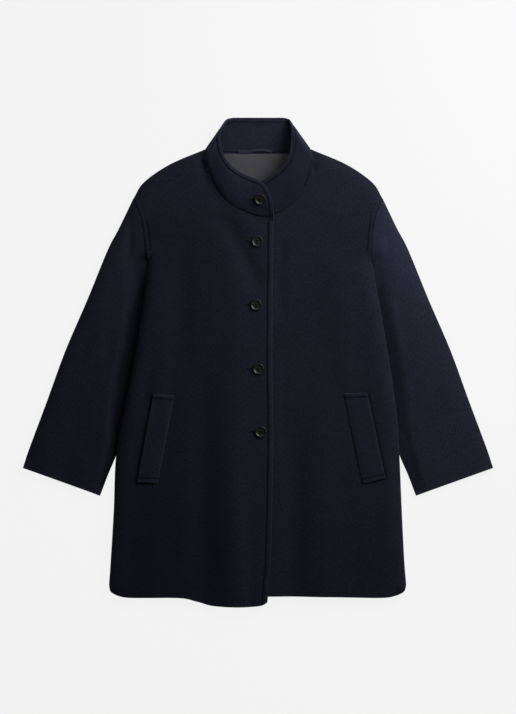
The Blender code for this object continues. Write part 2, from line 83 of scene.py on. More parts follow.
def ease(value: Array) -> Array:
    """Smooth step: 3v² − 2v³ of the value held between 0 and 1."""
    held = np.clip(value, 0.0, 1.0)
    return held * held * (3.0 - 2.0 * held)


def roll(distance: Array, width: float) -> Array:
    """Quarter round: 0 at a folded edge, 1 at the given width inside it."""
    inside = np.clip(distance / width, 0.0, 1.0)
    return np.sqrt(np.maximum(0.0, 1.0 - (1.0 - inside) ** 2))


def run_lengths(points: Array) -> Array:
    """Length from the first point to each point of a line."""
    return np.concatenate([[0.0], np.cumsum(np.linalg.norm(np.diff(points, axis=0), axis=1))])


def at_lengths(line: Array, lengths: Array) -> Array:
    """Points at given lengths along a line."""
    place = run_lengths(line)
    return np.stack([np.interp(lengths, place, line[:, axis]) for axis in range(line.shape[1])], axis=1)


def through(rows: Rows, steps: int) -> Array:
    """Smooth curve through the rows, with the same number of steps between each two.

    Args:
        rows: points the curve passes through.
        steps: steps between one row and the next.

    Returns:
        Points of a cubic whose slope at each row is half the step between its neighbours.
    """
    known = np.asarray(rows, float)
    padded = np.vstack([2 * known[0] - known[1], known, 2 * known[-1] - known[-2]])
    before, start, stop, after = (padded[index:len(padded) - 3 + index, None] for index in range(4))
    t = np.linspace(0.0, 1.0, steps, endpoint=False)[None, :, None]
    bend = (2 * before - 5 * start + 4 * stop - after) * t ** 2
    twist = (3 * start - before - 3 * stop + after) * t ** 3
    curve = 0.5 * (2 * start + (stop - before) * t + bend + twist)
    return np.vstack([curve.reshape(-1, known.shape[1]), known[-1:]])


def even(rows: Rows, steps: int) -> Array:
    """Smooth curve through the rows in steps of one length."""
    fine = through(rows, 32)
    return at_lengths(fine, np.linspace(0.0, run_lengths(fine)[-1], steps + 1))


def chain(*stretches: Array) -> Array:
    """Join stretches whose ends meet."""
    return np.vstack([stretches[0]] + [stretch[1:] for stretch in stretches[1:]])


def distance_to(plan: Array, line: Array) -> Array:
    """Distance from each point, in plan or in space, to the nearest spot of a line of straight segments.

    Args:
        plan: points in plan or in space.
        line: corners of the line.

    Returns:
        The distance of each point.
    """
    start = line[:-1]
    run = line[1:] - start
    offset = plan[..., None, :] - start
    part = np.clip((offset * run).sum(-1) / np.maximum((run * run).sum(-1), 1e-12), 0.0, 1.0)
    gap = offset - part[..., None] * run
    return np.sqrt((gap * gap).sum(-1)).min(-1)


def graded(*stretches: tuple[float, int]) -> Array:
    """Numbers from 0 up: each stretch gives where it ends and how many steps it takes.

    Args:
        stretches: where each stretch ends and its number of steps.

    Returns:
        All numbers in one row.
    """
    pieces = [np.zeros(1)]
    for stop, steps in stretches:
        pieces.append(np.linspace(pieces[-1][-1], stop, steps + 1)[1:])
    return np.concatenate(pieces)


def ruled(first: Array, last: Array, shares: Array) -> Array:
    """Straight rows from one edge to the other, with a point at each share of the way."""
    u = shares[None, :, None]
    return (1.0 - u) * first[:, None, :] + u * last[:, None, :]


def bent(plan: Array, edge: Array, weight: Array) -> Array:
    """Rows moved as the first row has to move to lie on an edge, each by its weight."""
    return plan + weight[:, None, None] * (edge - plan[0])[None]


@dataclass(frozen=True)
class Crease:
    """A soft trough or ridge along a straight line in plan, fading at its start and past its end."""

    x0: float
    y0: float
    x1: float
    y1: float
    half_width: float
    height: float
    fade: float = 0.35

    def lift(self, plan: Array) -> Array:
        """Height of a bell across the line, eased in along its first part and out past its end.

        Args:
            plan: X and Y of each point.

        Returns:
            The height at each point.
        """
        start = np.array((self.x0, self.y0))
        run = np.array((self.x1, self.y1)) - start
        share = ((plan - start) * run).sum(-1) / (run * run).sum()
        across = distance_to(plan, np.array((start, start + run)))
        along = ease(share / self.fade) * ease((1.0 - share) / self.fade + 1.0)
        return self.height * along * np.exp(-(across / self.half_width) ** 2)


@dataclass(frozen=True)
class Topstitch:
    """A row of stitches along an edge: it pulls a groove and leaves the edge beyond it puffed."""

    inset: float = 0.0105
    depth: float = 0.0010
    width: float = 0.0016
    puff: float = 0.0005

    def lift(self, distance: Array) -> Array:
        """Bell-shaped groove at the inset, and a low sine swell between it and the edge.

        Args:
            distance: distance of each point from the edge.

        Returns:
            The height at each point.
        """
        groove = self.depth * np.exp(-((distance - self.inset) / self.width) ** 2)
        swell = self.puff * np.sin(math.pi * np.clip(distance / self.inset, 0.0, 1.0))
        return swell - groove

    def press(self, distance: Array) -> Array:
        """Pressed nap with painted shade: a bell from 0 to 1 with its crest on the row of stitches."""
        return np.exp(-((distance - self.inset) / self.width) ** 2)


def seam_shade(distance: Array, reach: float = 0.0022) -> Array:
    """Pressed nap with painted shade beside a seam: a half bell, 1 at the seam and 0 past its reach."""
    return np.exp(-(distance / reach) ** 2)


class Signal:
    """A shader value for use in Python expressions: each operator adds a Math node."""

    def __init__(self, board: "Board", socket: bpy.types.NodeSocket) -> None:
        """Keep the board that the value is on and the socket it comes from."""
        self.board = board
        self.socket = socket

    def _math(self, operation: str, first: "Number", second: "Number") -> "Signal":
        """Add a Math node on two values."""
        return self.board.node("ShaderNodeMath", {"operation": operation}, {0: first, 1: second})

    def __add__(self, other: "Number") -> "Signal":
        """Sum."""
        return self._math("ADD", self, other)

    def __radd__(self, other: "Number") -> "Signal":
        """Sum, the number first."""
        return self._math("ADD", other, self)

    def __sub__(self, other: "Number") -> "Signal":
        """Difference."""
        return self._math("SUBTRACT", self, other)

    def __mul__(self, other: "Number") -> "Signal":
        """Product."""
        return self._math("MULTIPLY", self, other)

    def __rmul__(self, other: "Number") -> "Signal":
        """Product, the number first."""
        return self._math("MULTIPLY", other, self)

    def sine(self) -> "Signal":
        """Sine of the value."""
        return self._math("SINE", self, 0.0)


Number = Union[Signal, float]
Colour = tuple[float, float, float, float]


class Board:
    """The node tree of one material."""

    def __init__(self, name: str) -> None:
        """Make a material of this name that holds a Principled shader and its output.

        Args:
            name: the material's name.
        """
        self.material = bpy.data.materials.new(name)
        self.material.use_nodes = True
        self.tree = self.material.node_tree
        self.shader = self.tree.nodes["Principled BSDF"]

    def node(self, kind: str, settings: dict, sockets: dict, output: Union[int, str] = 0) -> Signal:
        """Add a node.

        Args:
            kind: the node's type.
            settings: attributes of the node, set first.
            sockets: values or links of its inputs, by name or number.
            output: which output the returned signal comes from.

        Returns:
            The chosen output as a signal.
        """
        made = self.tree.nodes.new(kind)
        for key, value in settings.items():
            setattr(made, key, value)
        for key, value in sockets.items():
            self.feed(made.inputs[key], value)
        return Signal(self, made.outputs[output])

    def feed(self, socket: bpy.types.NodeSocket, value: object) -> None:
        """Link a signal to an input, or set a plain value on it.

        Args:
            socket: the input.
            value: a signal, or a value of the input's kind.
        """
        if isinstance(value, Signal):
            self.tree.links.new(value.socket, socket)
        else:
            socket.default_value = value

    def blend(self, factor: Number, low: object, high: object) -> Signal:
        """Mix two colours by a factor.

        Args:
            factor: 0 for the low one, 1 for the high one.
            low: the first colour.
            high: the second colour.

        Returns:
            The mixed colour.
        """
        sockets = {"Factor": factor, "A": low, "B": high}
        made = self.tree.nodes.new("ShaderNodeMix")
        made.data_type = "RGBA"
        for item in made.inputs:
            if item.name in sockets and item.enabled:
                self.feed(item, sockets[item.name])
        return Signal(self, next(item for item in made.outputs if item.enabled))

    def place(self) -> Signal:
        """Where a point is on its object."""
        return self.node("ShaderNodeTexCoord", {}, {}, "Object")

    def attribute(self, name: str) -> Signal:
        """A number written on the mesh."""
        return self.node("ShaderNodeAttribute", {"attribute_name": name}, {}, "Fac")

    def noise(self, vector: Signal, scale: float, detail: float, roughness: float = 0.5) -> Signal:
        """Even noise from 0 to 1 at a number of cells to the metre."""
        sockets = {"Vector": vector, "Scale": scale, "Detail": detail, "Roughness": roughness}
        return self.node("ShaderNodeTexNoise", {}, sockets)

    def stretched(self, vector: Signal, scale: tuple[float, float, float]) -> Signal:
        """A vector scaled along its axes."""
        return self.node("ShaderNodeVectorMath", {"operation": "MULTIPLY"}, {0: vector, 1: scale})

    def bump(self, height: Signal, depth: float, strength: float) -> None:
        """Feed the shader's normal from a height in units of the given depth."""
        sockets = {"Height": height, "Distance": depth, "Strength": strength}
        self.feed(self.shader.inputs["Normal"], self.node("ShaderNodeBump", {}, sockets))

    def dress(self, **sockets: object) -> None:
        """Set or link inputs of the shader; an underscore in a name stands for a space."""
        for key, value in sockets.items():
            self.feed(self.shader.inputs[key.replace("_", " ")], value)


@dataclass(frozen=True)
class WoolFinish:
    """Brushed melton: a felted navy face with a short nap, mottled at arm's length, paler where rubbed."""

    name: str = "navy_melton"
    deep: Colour = (0.0053, 0.0054, 0.0102, 1.0)
    pale: Colour = (0.0171, 0.0182, 0.0308, 1.0)
    rubbed: Colour = (0.0206, 0.0220, 0.0366, 1.0)
    # painted shade colour: what the cloth is darkened towards in grooves, seams and cast shadows
    shade: Colour = (0.0016, 0.0018, 0.0036, 1.0)
    mottle_cells: float = 34.0
    nap_cells: tuple[float, float, float] = (1500.0, 620.0, 1.0)
    fibre_cells: tuple[float, float, float] = (340.0, 190.0, 1.0)
    rib_pitch: float = 0.0017
    sheen: float = 0.10
    fibre_share: float = 1.5
    nap_share: float = 0.4
    mottle_share: float = 0.25
    rib_share: float = 0.03
    tone_shift: float = 0.575
    # how far the painted shade darkens the cloth
    painted_shade_share: float = 0.8
    relief: float = 0.00045

    def material(self) -> bpy.types.Material:
        """Noise stretched along the grain makes the nap; a faint slanted wave is the weave under it.

        Returns:
            The material.
        """
        board = Board(self.name)
        grain = board.node("ShaderNodeUVMap", {"uv_map": ClothGrid.UV}, {})
        place = board.place()
        nap = board.noise(board.stretched(grain, self.nap_cells), 1.0, 2.0)
        fibre = board.noise(board.stretched(grain, self.fibre_cells), 1.0, 3.0, 0.6)
        mottle = board.noise(place, self.mottle_cells, 4.0, 0.6)
        slant = board.node("ShaderNodeVectorMath", {"operation": "DOT_PRODUCT"},
                           {0: grain, 1: (1.0, 0.6, 0.0)}, "Value")
        rib = (slant * (2.0 * math.pi / self.rib_pitch)).sine()
        tone = self.fibre_share * fibre + self.nap_share * nap + self.mottle_share * mottle
        tone = tone - self.tone_shift + self.rib_share * rib
        cloth = board.blend(tone, self.deep, self.pale)
        edge = board.attribute(ClothGrid.EDGE)
        worn = board.blend(edge * (0.2 + 0.5 * fibre), cloth, self.rubbed)
        # painted light and shade on the mesh: one number darkens grooves, seams and cast shadows, the other
        # scales the colour up or down by how light falls
        press = board.attribute(ClothGrid.PRESS)
        lean = board.attribute(ClothGrid.LEAN)
        painted_light_tone = board.node("ShaderNodeVectorMath", {"operation": "SCALE"}, {0: worn, "Scale": 1.0 + lean})
        # mix towards the painted shade colour
        colour = board.blend(self.painted_shade_share * press, painted_light_tone, self.shade)
        board.dress(Base_Color=colour, Roughness=0.82 + 0.14 * nap, Sheen_Weight=self.sheen,
                    Sheen_Roughness=0.42, Sheen_Tint=(0.62, 0.68, 0.95, 1.0), Specular_IOR_Level=0.04)
        board.bump(0.55 * nap + 0.9 * fibre + 0.10 * rib, self.relief, 0.75)
        return board.material


@dataclass(frozen=True)
class LiningFinish:
    """Grey satin: fine crossing threads and a soft gloss."""

    name: str = "grey_satin"
    deep: Colour = (0.030, 0.029, 0.036, 1.0)
    pale: Colour = (0.056, 0.054, 0.064, 1.0)
    thread_pitch: float = 0.0006
    mottle_cells: float = 60.0

    def material(self) -> bpy.types.Material:
        """Two sine waves at right angles make the threads; broad noise varies the tone.

        Returns:
            The material.
        """
        board = Board(self.name)
        place = board.place()
        across, along = (board.node("ShaderNodeSeparateXYZ", {}, {0: place}, axis) for axis in "XY")
        warp = (across * (2.0 * math.pi / self.thread_pitch)).sine()
        weft = (along * (2.0 * math.pi / self.thread_pitch)).sine()
        mottle = board.noise(place, self.mottle_cells, 3.0)
        colour = board.blend(0.2 + 0.6 * mottle + 0.05 * warp, self.deep, self.pale)
        board.dress(Base_Color=colour, Roughness=0.48 + 0.14 * mottle, Specular_IOR_Level=0.25)
        board.bump(0.3 * warp + 0.3 * weft, 0.00012, 0.4)
        return board.material


@dataclass(frozen=True)
class HornFinish:
    """Polished black-brown button stock with cloudy streaks and fine turning marks."""

    name: str = "black_brown_horn"
    deep: Colour = (0.0055, 0.0050, 0.0052, 1.0)
    brown: Colour = (0.0150, 0.0122, 0.0118, 1.0)
    streak_cells: tuple[float, float, float] = (120.0, 420.0, 200.0)
    scratch_cells: float = 1600.0

    def material(self) -> bpy.types.Material:
        """Stretched noise clouds the colour and lightly dulls the polish.

        Returns:
            The material.
        """
        board = Board(self.name)
        place = board.place()
        streak = board.noise(board.stretched(place, self.streak_cells), 1.0, 4.0)
        scratch = board.noise(place, self.scratch_cells, 2.0)
        colour = board.blend(1.5 * streak - 0.45, self.deep, self.brown)
        board.dress(Base_Color=colour, Roughness=0.24 + 0.12 * scratch + 0.06 * streak,
                    Specular_IOR_Level=0.32)
        board.bump(scratch, 0.00005, 0.35)
        return board.material


@dataclass(frozen=True)
class ThreadFinish:
    """Twisted sewing thread in one colour."""

    name: str
    deep: Colour
    pale: Colour
    twist_cells: float = 2600.0

    def material(self) -> bpy.types.Material:
        """Fine noise varies the tone of the twisted plies.

        Returns:
            The material.
        """
        board = Board(self.name)
        place = board.place()
        ply = board.noise(place, self.twist_cells, 2.0)
        board.dress(Base_Color=board.blend(ply, self.deep, self.pale), Roughness=0.6 + 0.2 * ply,
                    Specular_IOR_Level=0.08)
        board.bump(ply, 0.0001, 0.5)
        return board.material


@dataclass(frozen=True)
class FloorFinish:
    """Pale studio floor lit from below, as a light table is, with a trace of tooth."""

    name: str = "pale_floor"
    low: Colour = (0.048, 0.048, 0.048, 1.0)
    high: Colour = (0.052, 0.052, 0.052, 1.0)
    glow: float = 0.868

    def material(self) -> bpy.types.Material:
        """Broad faint noise between two greys, under an even glow.

        Returns:
            The material.
        """
        board = Board(self.name)
        place = board.place()
        cloud = board.noise(place, 3.0, 2.0)
        tooth = board.noise(place, 900.0, 2.0)
        board.dress(Base_Color=board.blend(cloud, self.low, self.high), Roughness=0.9 + 0.05 * tooth,
                    Specular_IOR_Level=0.0, Emission_Color=(1.0, 1.0, 1.0, 1.0), Emission_Strength=self.glow)
        return board.material


def add_mesh(name: str, points: Array, faces: list, finish: bpy.types.Material) -> bpy.types.Object:
    """A smooth-shaded object made from points and faces.

    Args:
        name: the object's name.
        points: one row of X, Y, Z for each vertex.
        faces: the vertex numbers of each face, anticlockwise from outside.
        finish: the material.

    Returns:
        The object, at the origin and linked to the scene.
    """
    mesh = bpy.data.meshes.new(name)
    mesh.from_pydata(points.tolist(), [], faces)
    mesh.materials.append(finish)
    mesh.shade_smooth()
    piece = bpy.data.objects.new(name, mesh)
    bpy.context.scene.collection.objects.link(piece)
    return piece


def grid_quads(number: Array, closed: bool) -> Array:
    """Faces of a grid of vertex numbers; a closed grid joins its last column to its first.

    Args:
        number: vertex numbers by row and column.
        closed: whether columns form a ring.

    Returns:
        Four vertex numbers for each face.
    """
    ring = np.concatenate([number, number[:, :1]], axis=1) if closed else number
    corners = (ring[:-1, :-1], ring[:-1, 1:], ring[1:, 1:], ring[1:, :-1])
    return np.stack(corners, axis=-1).reshape(-1, 4)


@dataclass
class ClothGrid:
    """Outer face of a cloth piece on a grid of rows and columns, and the wall of cloth behind it."""

    face: Array
    wall: float
    closed: bool = False
    # painted shade with pressed nap, and painted light, for each point
    press: Union[Array, float] = 0.0
    lean: Union[Array, float] = 0.0
    pinch: float = 0.0
    level_grain: bool = False
    border_steps: tuple[float, ...] = (0.08, 0.25, 0.55)

    UV = "cloth"
    EDGE = "edge"
    # mesh attribute names of the painted shade with pressed nap and of the painted light
    PRESS = "press"
    LEAN = "lean"
    RUB_REACH = 0.0045

    def bordered(self) -> tuple[Array, Array, Array]:
        """The face, painted shade and painted light with extra lines beside the borders, to round the edges
        with.

        Returns:
            Points, painted shade and painted light of the denser grid.
        """
        nap = [np.broadcast_to(values, self.face.shape[:2]) for values in (self.press, self.lean)]
        sheet = np.dstack([self.face, *nap])
        sheet = self.lined(sheet)
        if not self.closed:
            sheet = self.lined(sheet.transpose(1, 0, 2)).transpose(1, 0, 2)
        return sheet[..., :3], sheet[..., 3], sheet[..., 4]

    def lined(self, face: Array) -> Array:
        """Lines at set shares of the first and the last step of the rows.

        Args:
            face: points of a grid.

        Returns:
            The grid with more rows.
        """
        first = [face[:1] + share * (face[1:2] - face[:1]) for share in self.border_steps]
        last = [face[-1:] + share * (face[-2:-1] - face[-1:]) for share in self.border_steps[::-1]]
        return np.concatenate([face[:1], *first, face[1:-1], *last, face[-1:]], axis=0)

    @staticmethod
    def lengths(face: Array, axis: int) -> Array:
        """Length along each grid line from its first point.

        Args:
            face: points of a grid.
            axis: 0 along the columns, 1 along the rows.

        Returns:
            The length at each point.
        """
        step = np.linalg.norm(np.diff(face, axis=axis), axis=-1)
        width = [(0, 0), (0, 0)]
        width[axis] = (1, 0)
        return np.pad(np.cumsum(step, axis=axis), width)

    def normals(self, face: Array) -> Array:
        """Unit normals: the cross product of the slopes along columns and rows, turned the way most face.

        Args:
            face: points of a grid.

        Returns:
            The normal at each point.
        """
        if self.closed:
            across = np.roll(face, -1, axis=1) - np.roll(face, 1, axis=1)
        else:
            across = np.gradient(face, axis=1)
        normal = np.cross(across, np.gradient(face, axis=0))
        if self.level_grain:
            normal = np.where(normal[..., 2:] * normal[..., 2].sum() < 0.0, -normal, normal)
        return normal / np.maximum(np.linalg.norm(normal, axis=-1, keepdims=True), 1e-12)

    def piece(self, name: str, finish: bpy.types.Material) -> bpy.types.Object:
        """The closed shell.

        The middle of the wall lies half a thickness inside the face. The two skins stand off it by
        half a thickness times a quarter round of the distance to the nearest border, so that they
        meet at the border in a rounded edge. They close up by the pinch where the pressed nap and painted
        shade number is high.

        Args:
            name: the object's name.
            finish: the material.

        Returns:
            The object, its grain in metres as a UV map, its rub, painted shade and painted light as
            attributes.
        """
        face, press, lean = self.bordered()
        normal = self.normals(face)
        along = self.lengths(face, 0)
        border = np.minimum(along, along[-1:] - along)
        across = self.lengths(face, 1)
        if not self.closed:
            border = np.minimum(border, np.minimum(across, across[:, -1:] - across))
        swell = (roll(border, self.wall / 2) * (1.0 - self.pinch * press))[..., None]
        middle = face - 0.5 * self.wall * normal
        outer = middle + 0.5 * self.wall * swell * normal
        inner = middle - 0.5 * self.wall * swell * normal

        rows, columns = face.shape[:2]
        front = np.arange(rows * columns).reshape(rows, columns)
        back = front + rows * columns
        back[0], back[-1] = front[0], front[-1]
        if not self.closed:
            back[:, 0], back[:, -1] = front[:, 0], front[:, -1]
        quads = np.vstack([grid_quads(front, self.closed), grid_quads(back, self.closed)[:, ::-1]])
        used, compact = np.unique(quads, return_inverse=True)
        points = np.concatenate([outer.reshape(-1, 3), inner.reshape(-1, 3)])[used]
        piece = add_mesh(name, points, compact.reshape(quads.shape).tolist(), finish)
        if self.level_grain:
            self.paint_grain(piece, face[..., 0], face[..., 1])
        else:
            self.paint_grain(piece, across, along)
        rubbed = np.exp(-(border / self.RUB_REACH) ** 2) * (1.0 - press)
        # write the rub (wear), the painted shade and the painted light
        for name, values in ((self.EDGE, rubbed), (self.PRESS, press), (self.LEAN, lean)):
            attribute = piece.data.attributes.new(name, "FLOAT", "POINT")
            attribute.data.foreach_set("value", np.tile(values.ravel(), 2)[used].astype(np.float32))
        return piece

    def paint_grain(self, piece: bpy.types.Object, across: Array, along: Array) -> None:
        """Write lengths across and along the grain to a UV map.

        Args:
            piece: the object.
            across: length across the grain at each point.
            along: length along the grain at each point.
        """
        if self.closed:
            step = across[:, -1:] + (across[:, 1:2] - across[:, :1])
            across = np.concatenate([across, step], axis=1)
            along = np.concatenate([along, along[:, :1]], axis=1)
        number = np.arange(across.size).reshape(across.shape)
        quads = grid_quads(number, False)
        both = np.vstack([quads, quads[:, ::-1]])
        grain = np.stack([across.ravel(), along.ravel()], axis=1)
        layer = piece.data.uv_layers.new(name=self.UV)
        layer.data.foreach_set("uv", grain[both.ravel()].ravel())


def show(piece: bpy.types.Object, slot: Slot, *nodes: str) -> bpy.types.Object:
    """Let a piece ride on the coat and stand for CAD nodes, and report it.

    Args:
        piece: the object.
        slot: not used.
        nodes: names of the CAD nodes it stands for.

    Returns:
        The same object.
    """
    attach(piece, BODY_NAME)
    if nodes:
        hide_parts(*nodes)
    LOG.info("%s: %d faces", piece.name, len(piece.data.polygons))
    return piece


@dataclass(frozen=True)
class HalfEdges:
    """Plan edges of one half of the coat, rows of (x, y)."""

    wearer: Wearer
    hem_corner: Rows
    side: Rows
    armhole: Rows
    shoulder: Rows
    sleeve_outer: Rows
    sleeve_inner: Rows
    hem: Rows
    closing_low: Rows
    closing: Rows
    closing_top: Rows
    corner_steps: int = 12
    side_steps: int = 117
    armhole_steps: int = 35
    shoulder_steps: int = 35
    closing_top_steps: int = 14

    @property
    def side_stop(self) -> int:
        """Row where the side ends, at the foot of the armhole."""
        return self.corner_steps + self.side_steps

    @property
    def shoulder_start(self) -> int:
        """Row where the shoulder starts."""
        return self.side_stop + self.armhole_steps

    def body_edge(self) -> Array:
        """Outer edge of the body: hem corner, side, armhole, shoulder."""
        return chain(even(self.hem_corner, self.corner_steps), even(self.side, self.side_steps),
                     even(self.armhole, self.armhole_steps), even(self.shoulder, self.shoulder_steps))

    def closing_edge(self) -> Array:
        """Edge of the front from the hem to the collar."""
        return chain(even(self.closing_low, self.corner_steps), even(self.closing, self.side_steps),
                     even(self.closing_top, self.closing_top_steps))

    def side_fold(self) -> Array:
        """The folded side, from the hem to the armhole."""
        return self.body_edge()[:self.side_stop + 1]

    def shoulder_fold(self) -> Array:
        """The shoulder, from the armhole to the collar."""
        return self.body_edge()[self.shoulder_start:]

    def row_share(self) -> Array:
        """How far each row is up the body's edge, with every stretch of the edge given its own share.

        Returns:
            The share of each row, from 0 to 1.
        """
        rise = graded((3.0, self.corner_steps), (16.0, self.side_steps), (21.0, self.armhole_steps),
                      (26.0, self.shoulder_steps))
        return rise / rise[-1]

    def to_armhole(self, plan: Array) -> Array:
        """Plan distance of each point from the armhole."""
        return distance_to(plan, even(self.armhole, 20))

    def to_closing(self, plan: Array) -> Array:
        """Plan distance of each point from the closing edge."""
        return distance_to(plan, self.closing_edge()[::4])


def mirrored(rows: Rows) -> Rows:
    """Rows of the other half of the coat, with X turned round."""
    return tuple((-x, y) for x, y in rows)


RIGHT = HalfEdges(
    wearer=Wearer.RIGHT,
    hem_corner=((-0.288, -0.471), (-0.2985, -0.464), (-0.3015, -0.450)),
    side=((-0.3015, -0.450), (-0.298, -0.400), (-0.292, -0.300), (-0.287, -0.188),
          (-0.269, -0.097), (-0.246, 0.022), (-0.2285, 0.138), (-0.224, 0.203)),
    armhole=((-0.224, 0.203), (-0.228, 0.237), (-0.236, 0.288), (-0.2515, 0.331)),
    shoulder=((-0.2515, 0.331), (-0.231, 0.363), (-0.179, 0.399), (-0.1065, 0.430)),
    sleeve_outer=((-0.2515, 0.331), (-0.281, 0.270), (-0.304, 0.226), (-0.345, 0.126), (-0.389, 0.024),
                  (-0.426, -0.077), (-0.464, -0.179), (-0.475, -0.214)),
    sleeve_inner=((-0.224, 0.203), (-0.2180, 0.148), (-0.221, 0.085), (-0.232, 0.022),
                  (-0.251, -0.053), (-0.260, -0.097), (-0.273, -0.156), (-0.287, -0.190),
                  (-0.304, -0.230), (-0.319, -0.270)),
    hem=((-0.288, -0.471), (-0.257, -0.476), (-0.160, -0.4765), (-0.124, -0.484), (-0.092, -0.4925),
         (-0.038, -0.4945), (0.004, -0.492), (0.019, -0.485)),
    closing_low=((0.019, -0.485), (0.020, -0.475), (0.0208, -0.463)),
    closing=((0.0208, -0.463), (0.027, -0.373), (0.031, -0.150), (0.029, 0.000), (0.0308, 0.215)),
    closing_top=((0.0308, 0.215), (0.0312, 0.250), (0.0317, 0.294)),
)
LEFT = HalfEdges(
    wearer=Wearer.LEFT,
    hem_corner=((0.286, -0.470), (0.2965, -0.463), (0.300, -0.450)),
    side=((0.300, -0.450), (0.296, -0.400), (0.291, -0.300), (0.286, -0.187),
          (0.279, -0.097), (0.262, 0.022), (0.2415, 0.138), (0.231, 0.203)),
    armhole=((0.231, 0.203), (0.231, 0.237), (0.237, 0.288), (0.2515, 0.331)),
    shoulder=mirrored(RIGHT.shoulder),
    sleeve_outer=mirrored(RIGHT.sleeve_outer),
    sleeve_inner=((0.231, 0.203), (0.2295, 0.150), (0.235, 0.085), (0.248, 0.022),
                  (0.263, -0.053), (0.2690, -0.097), (0.2765, -0.150), (0.2860, -0.188),
                  (0.304, -0.230), (0.319, -0.270)),
    hem=((0.286, -0.470), (0.250, -0.476), (0.150, -0.4745), (0.060, -0.4735), (-0.029, -0.474)),
    closing_low=((-0.029, -0.474), (-0.029, -0.464), (-0.029, -0.453)),
    closing=((-0.029, -0.453), (-0.029, -0.150), (-0.029, 0.215)),
    closing_top=((-0.029, 0.215), (-0.029, 0.250), (-0.029, 0.294)),
)


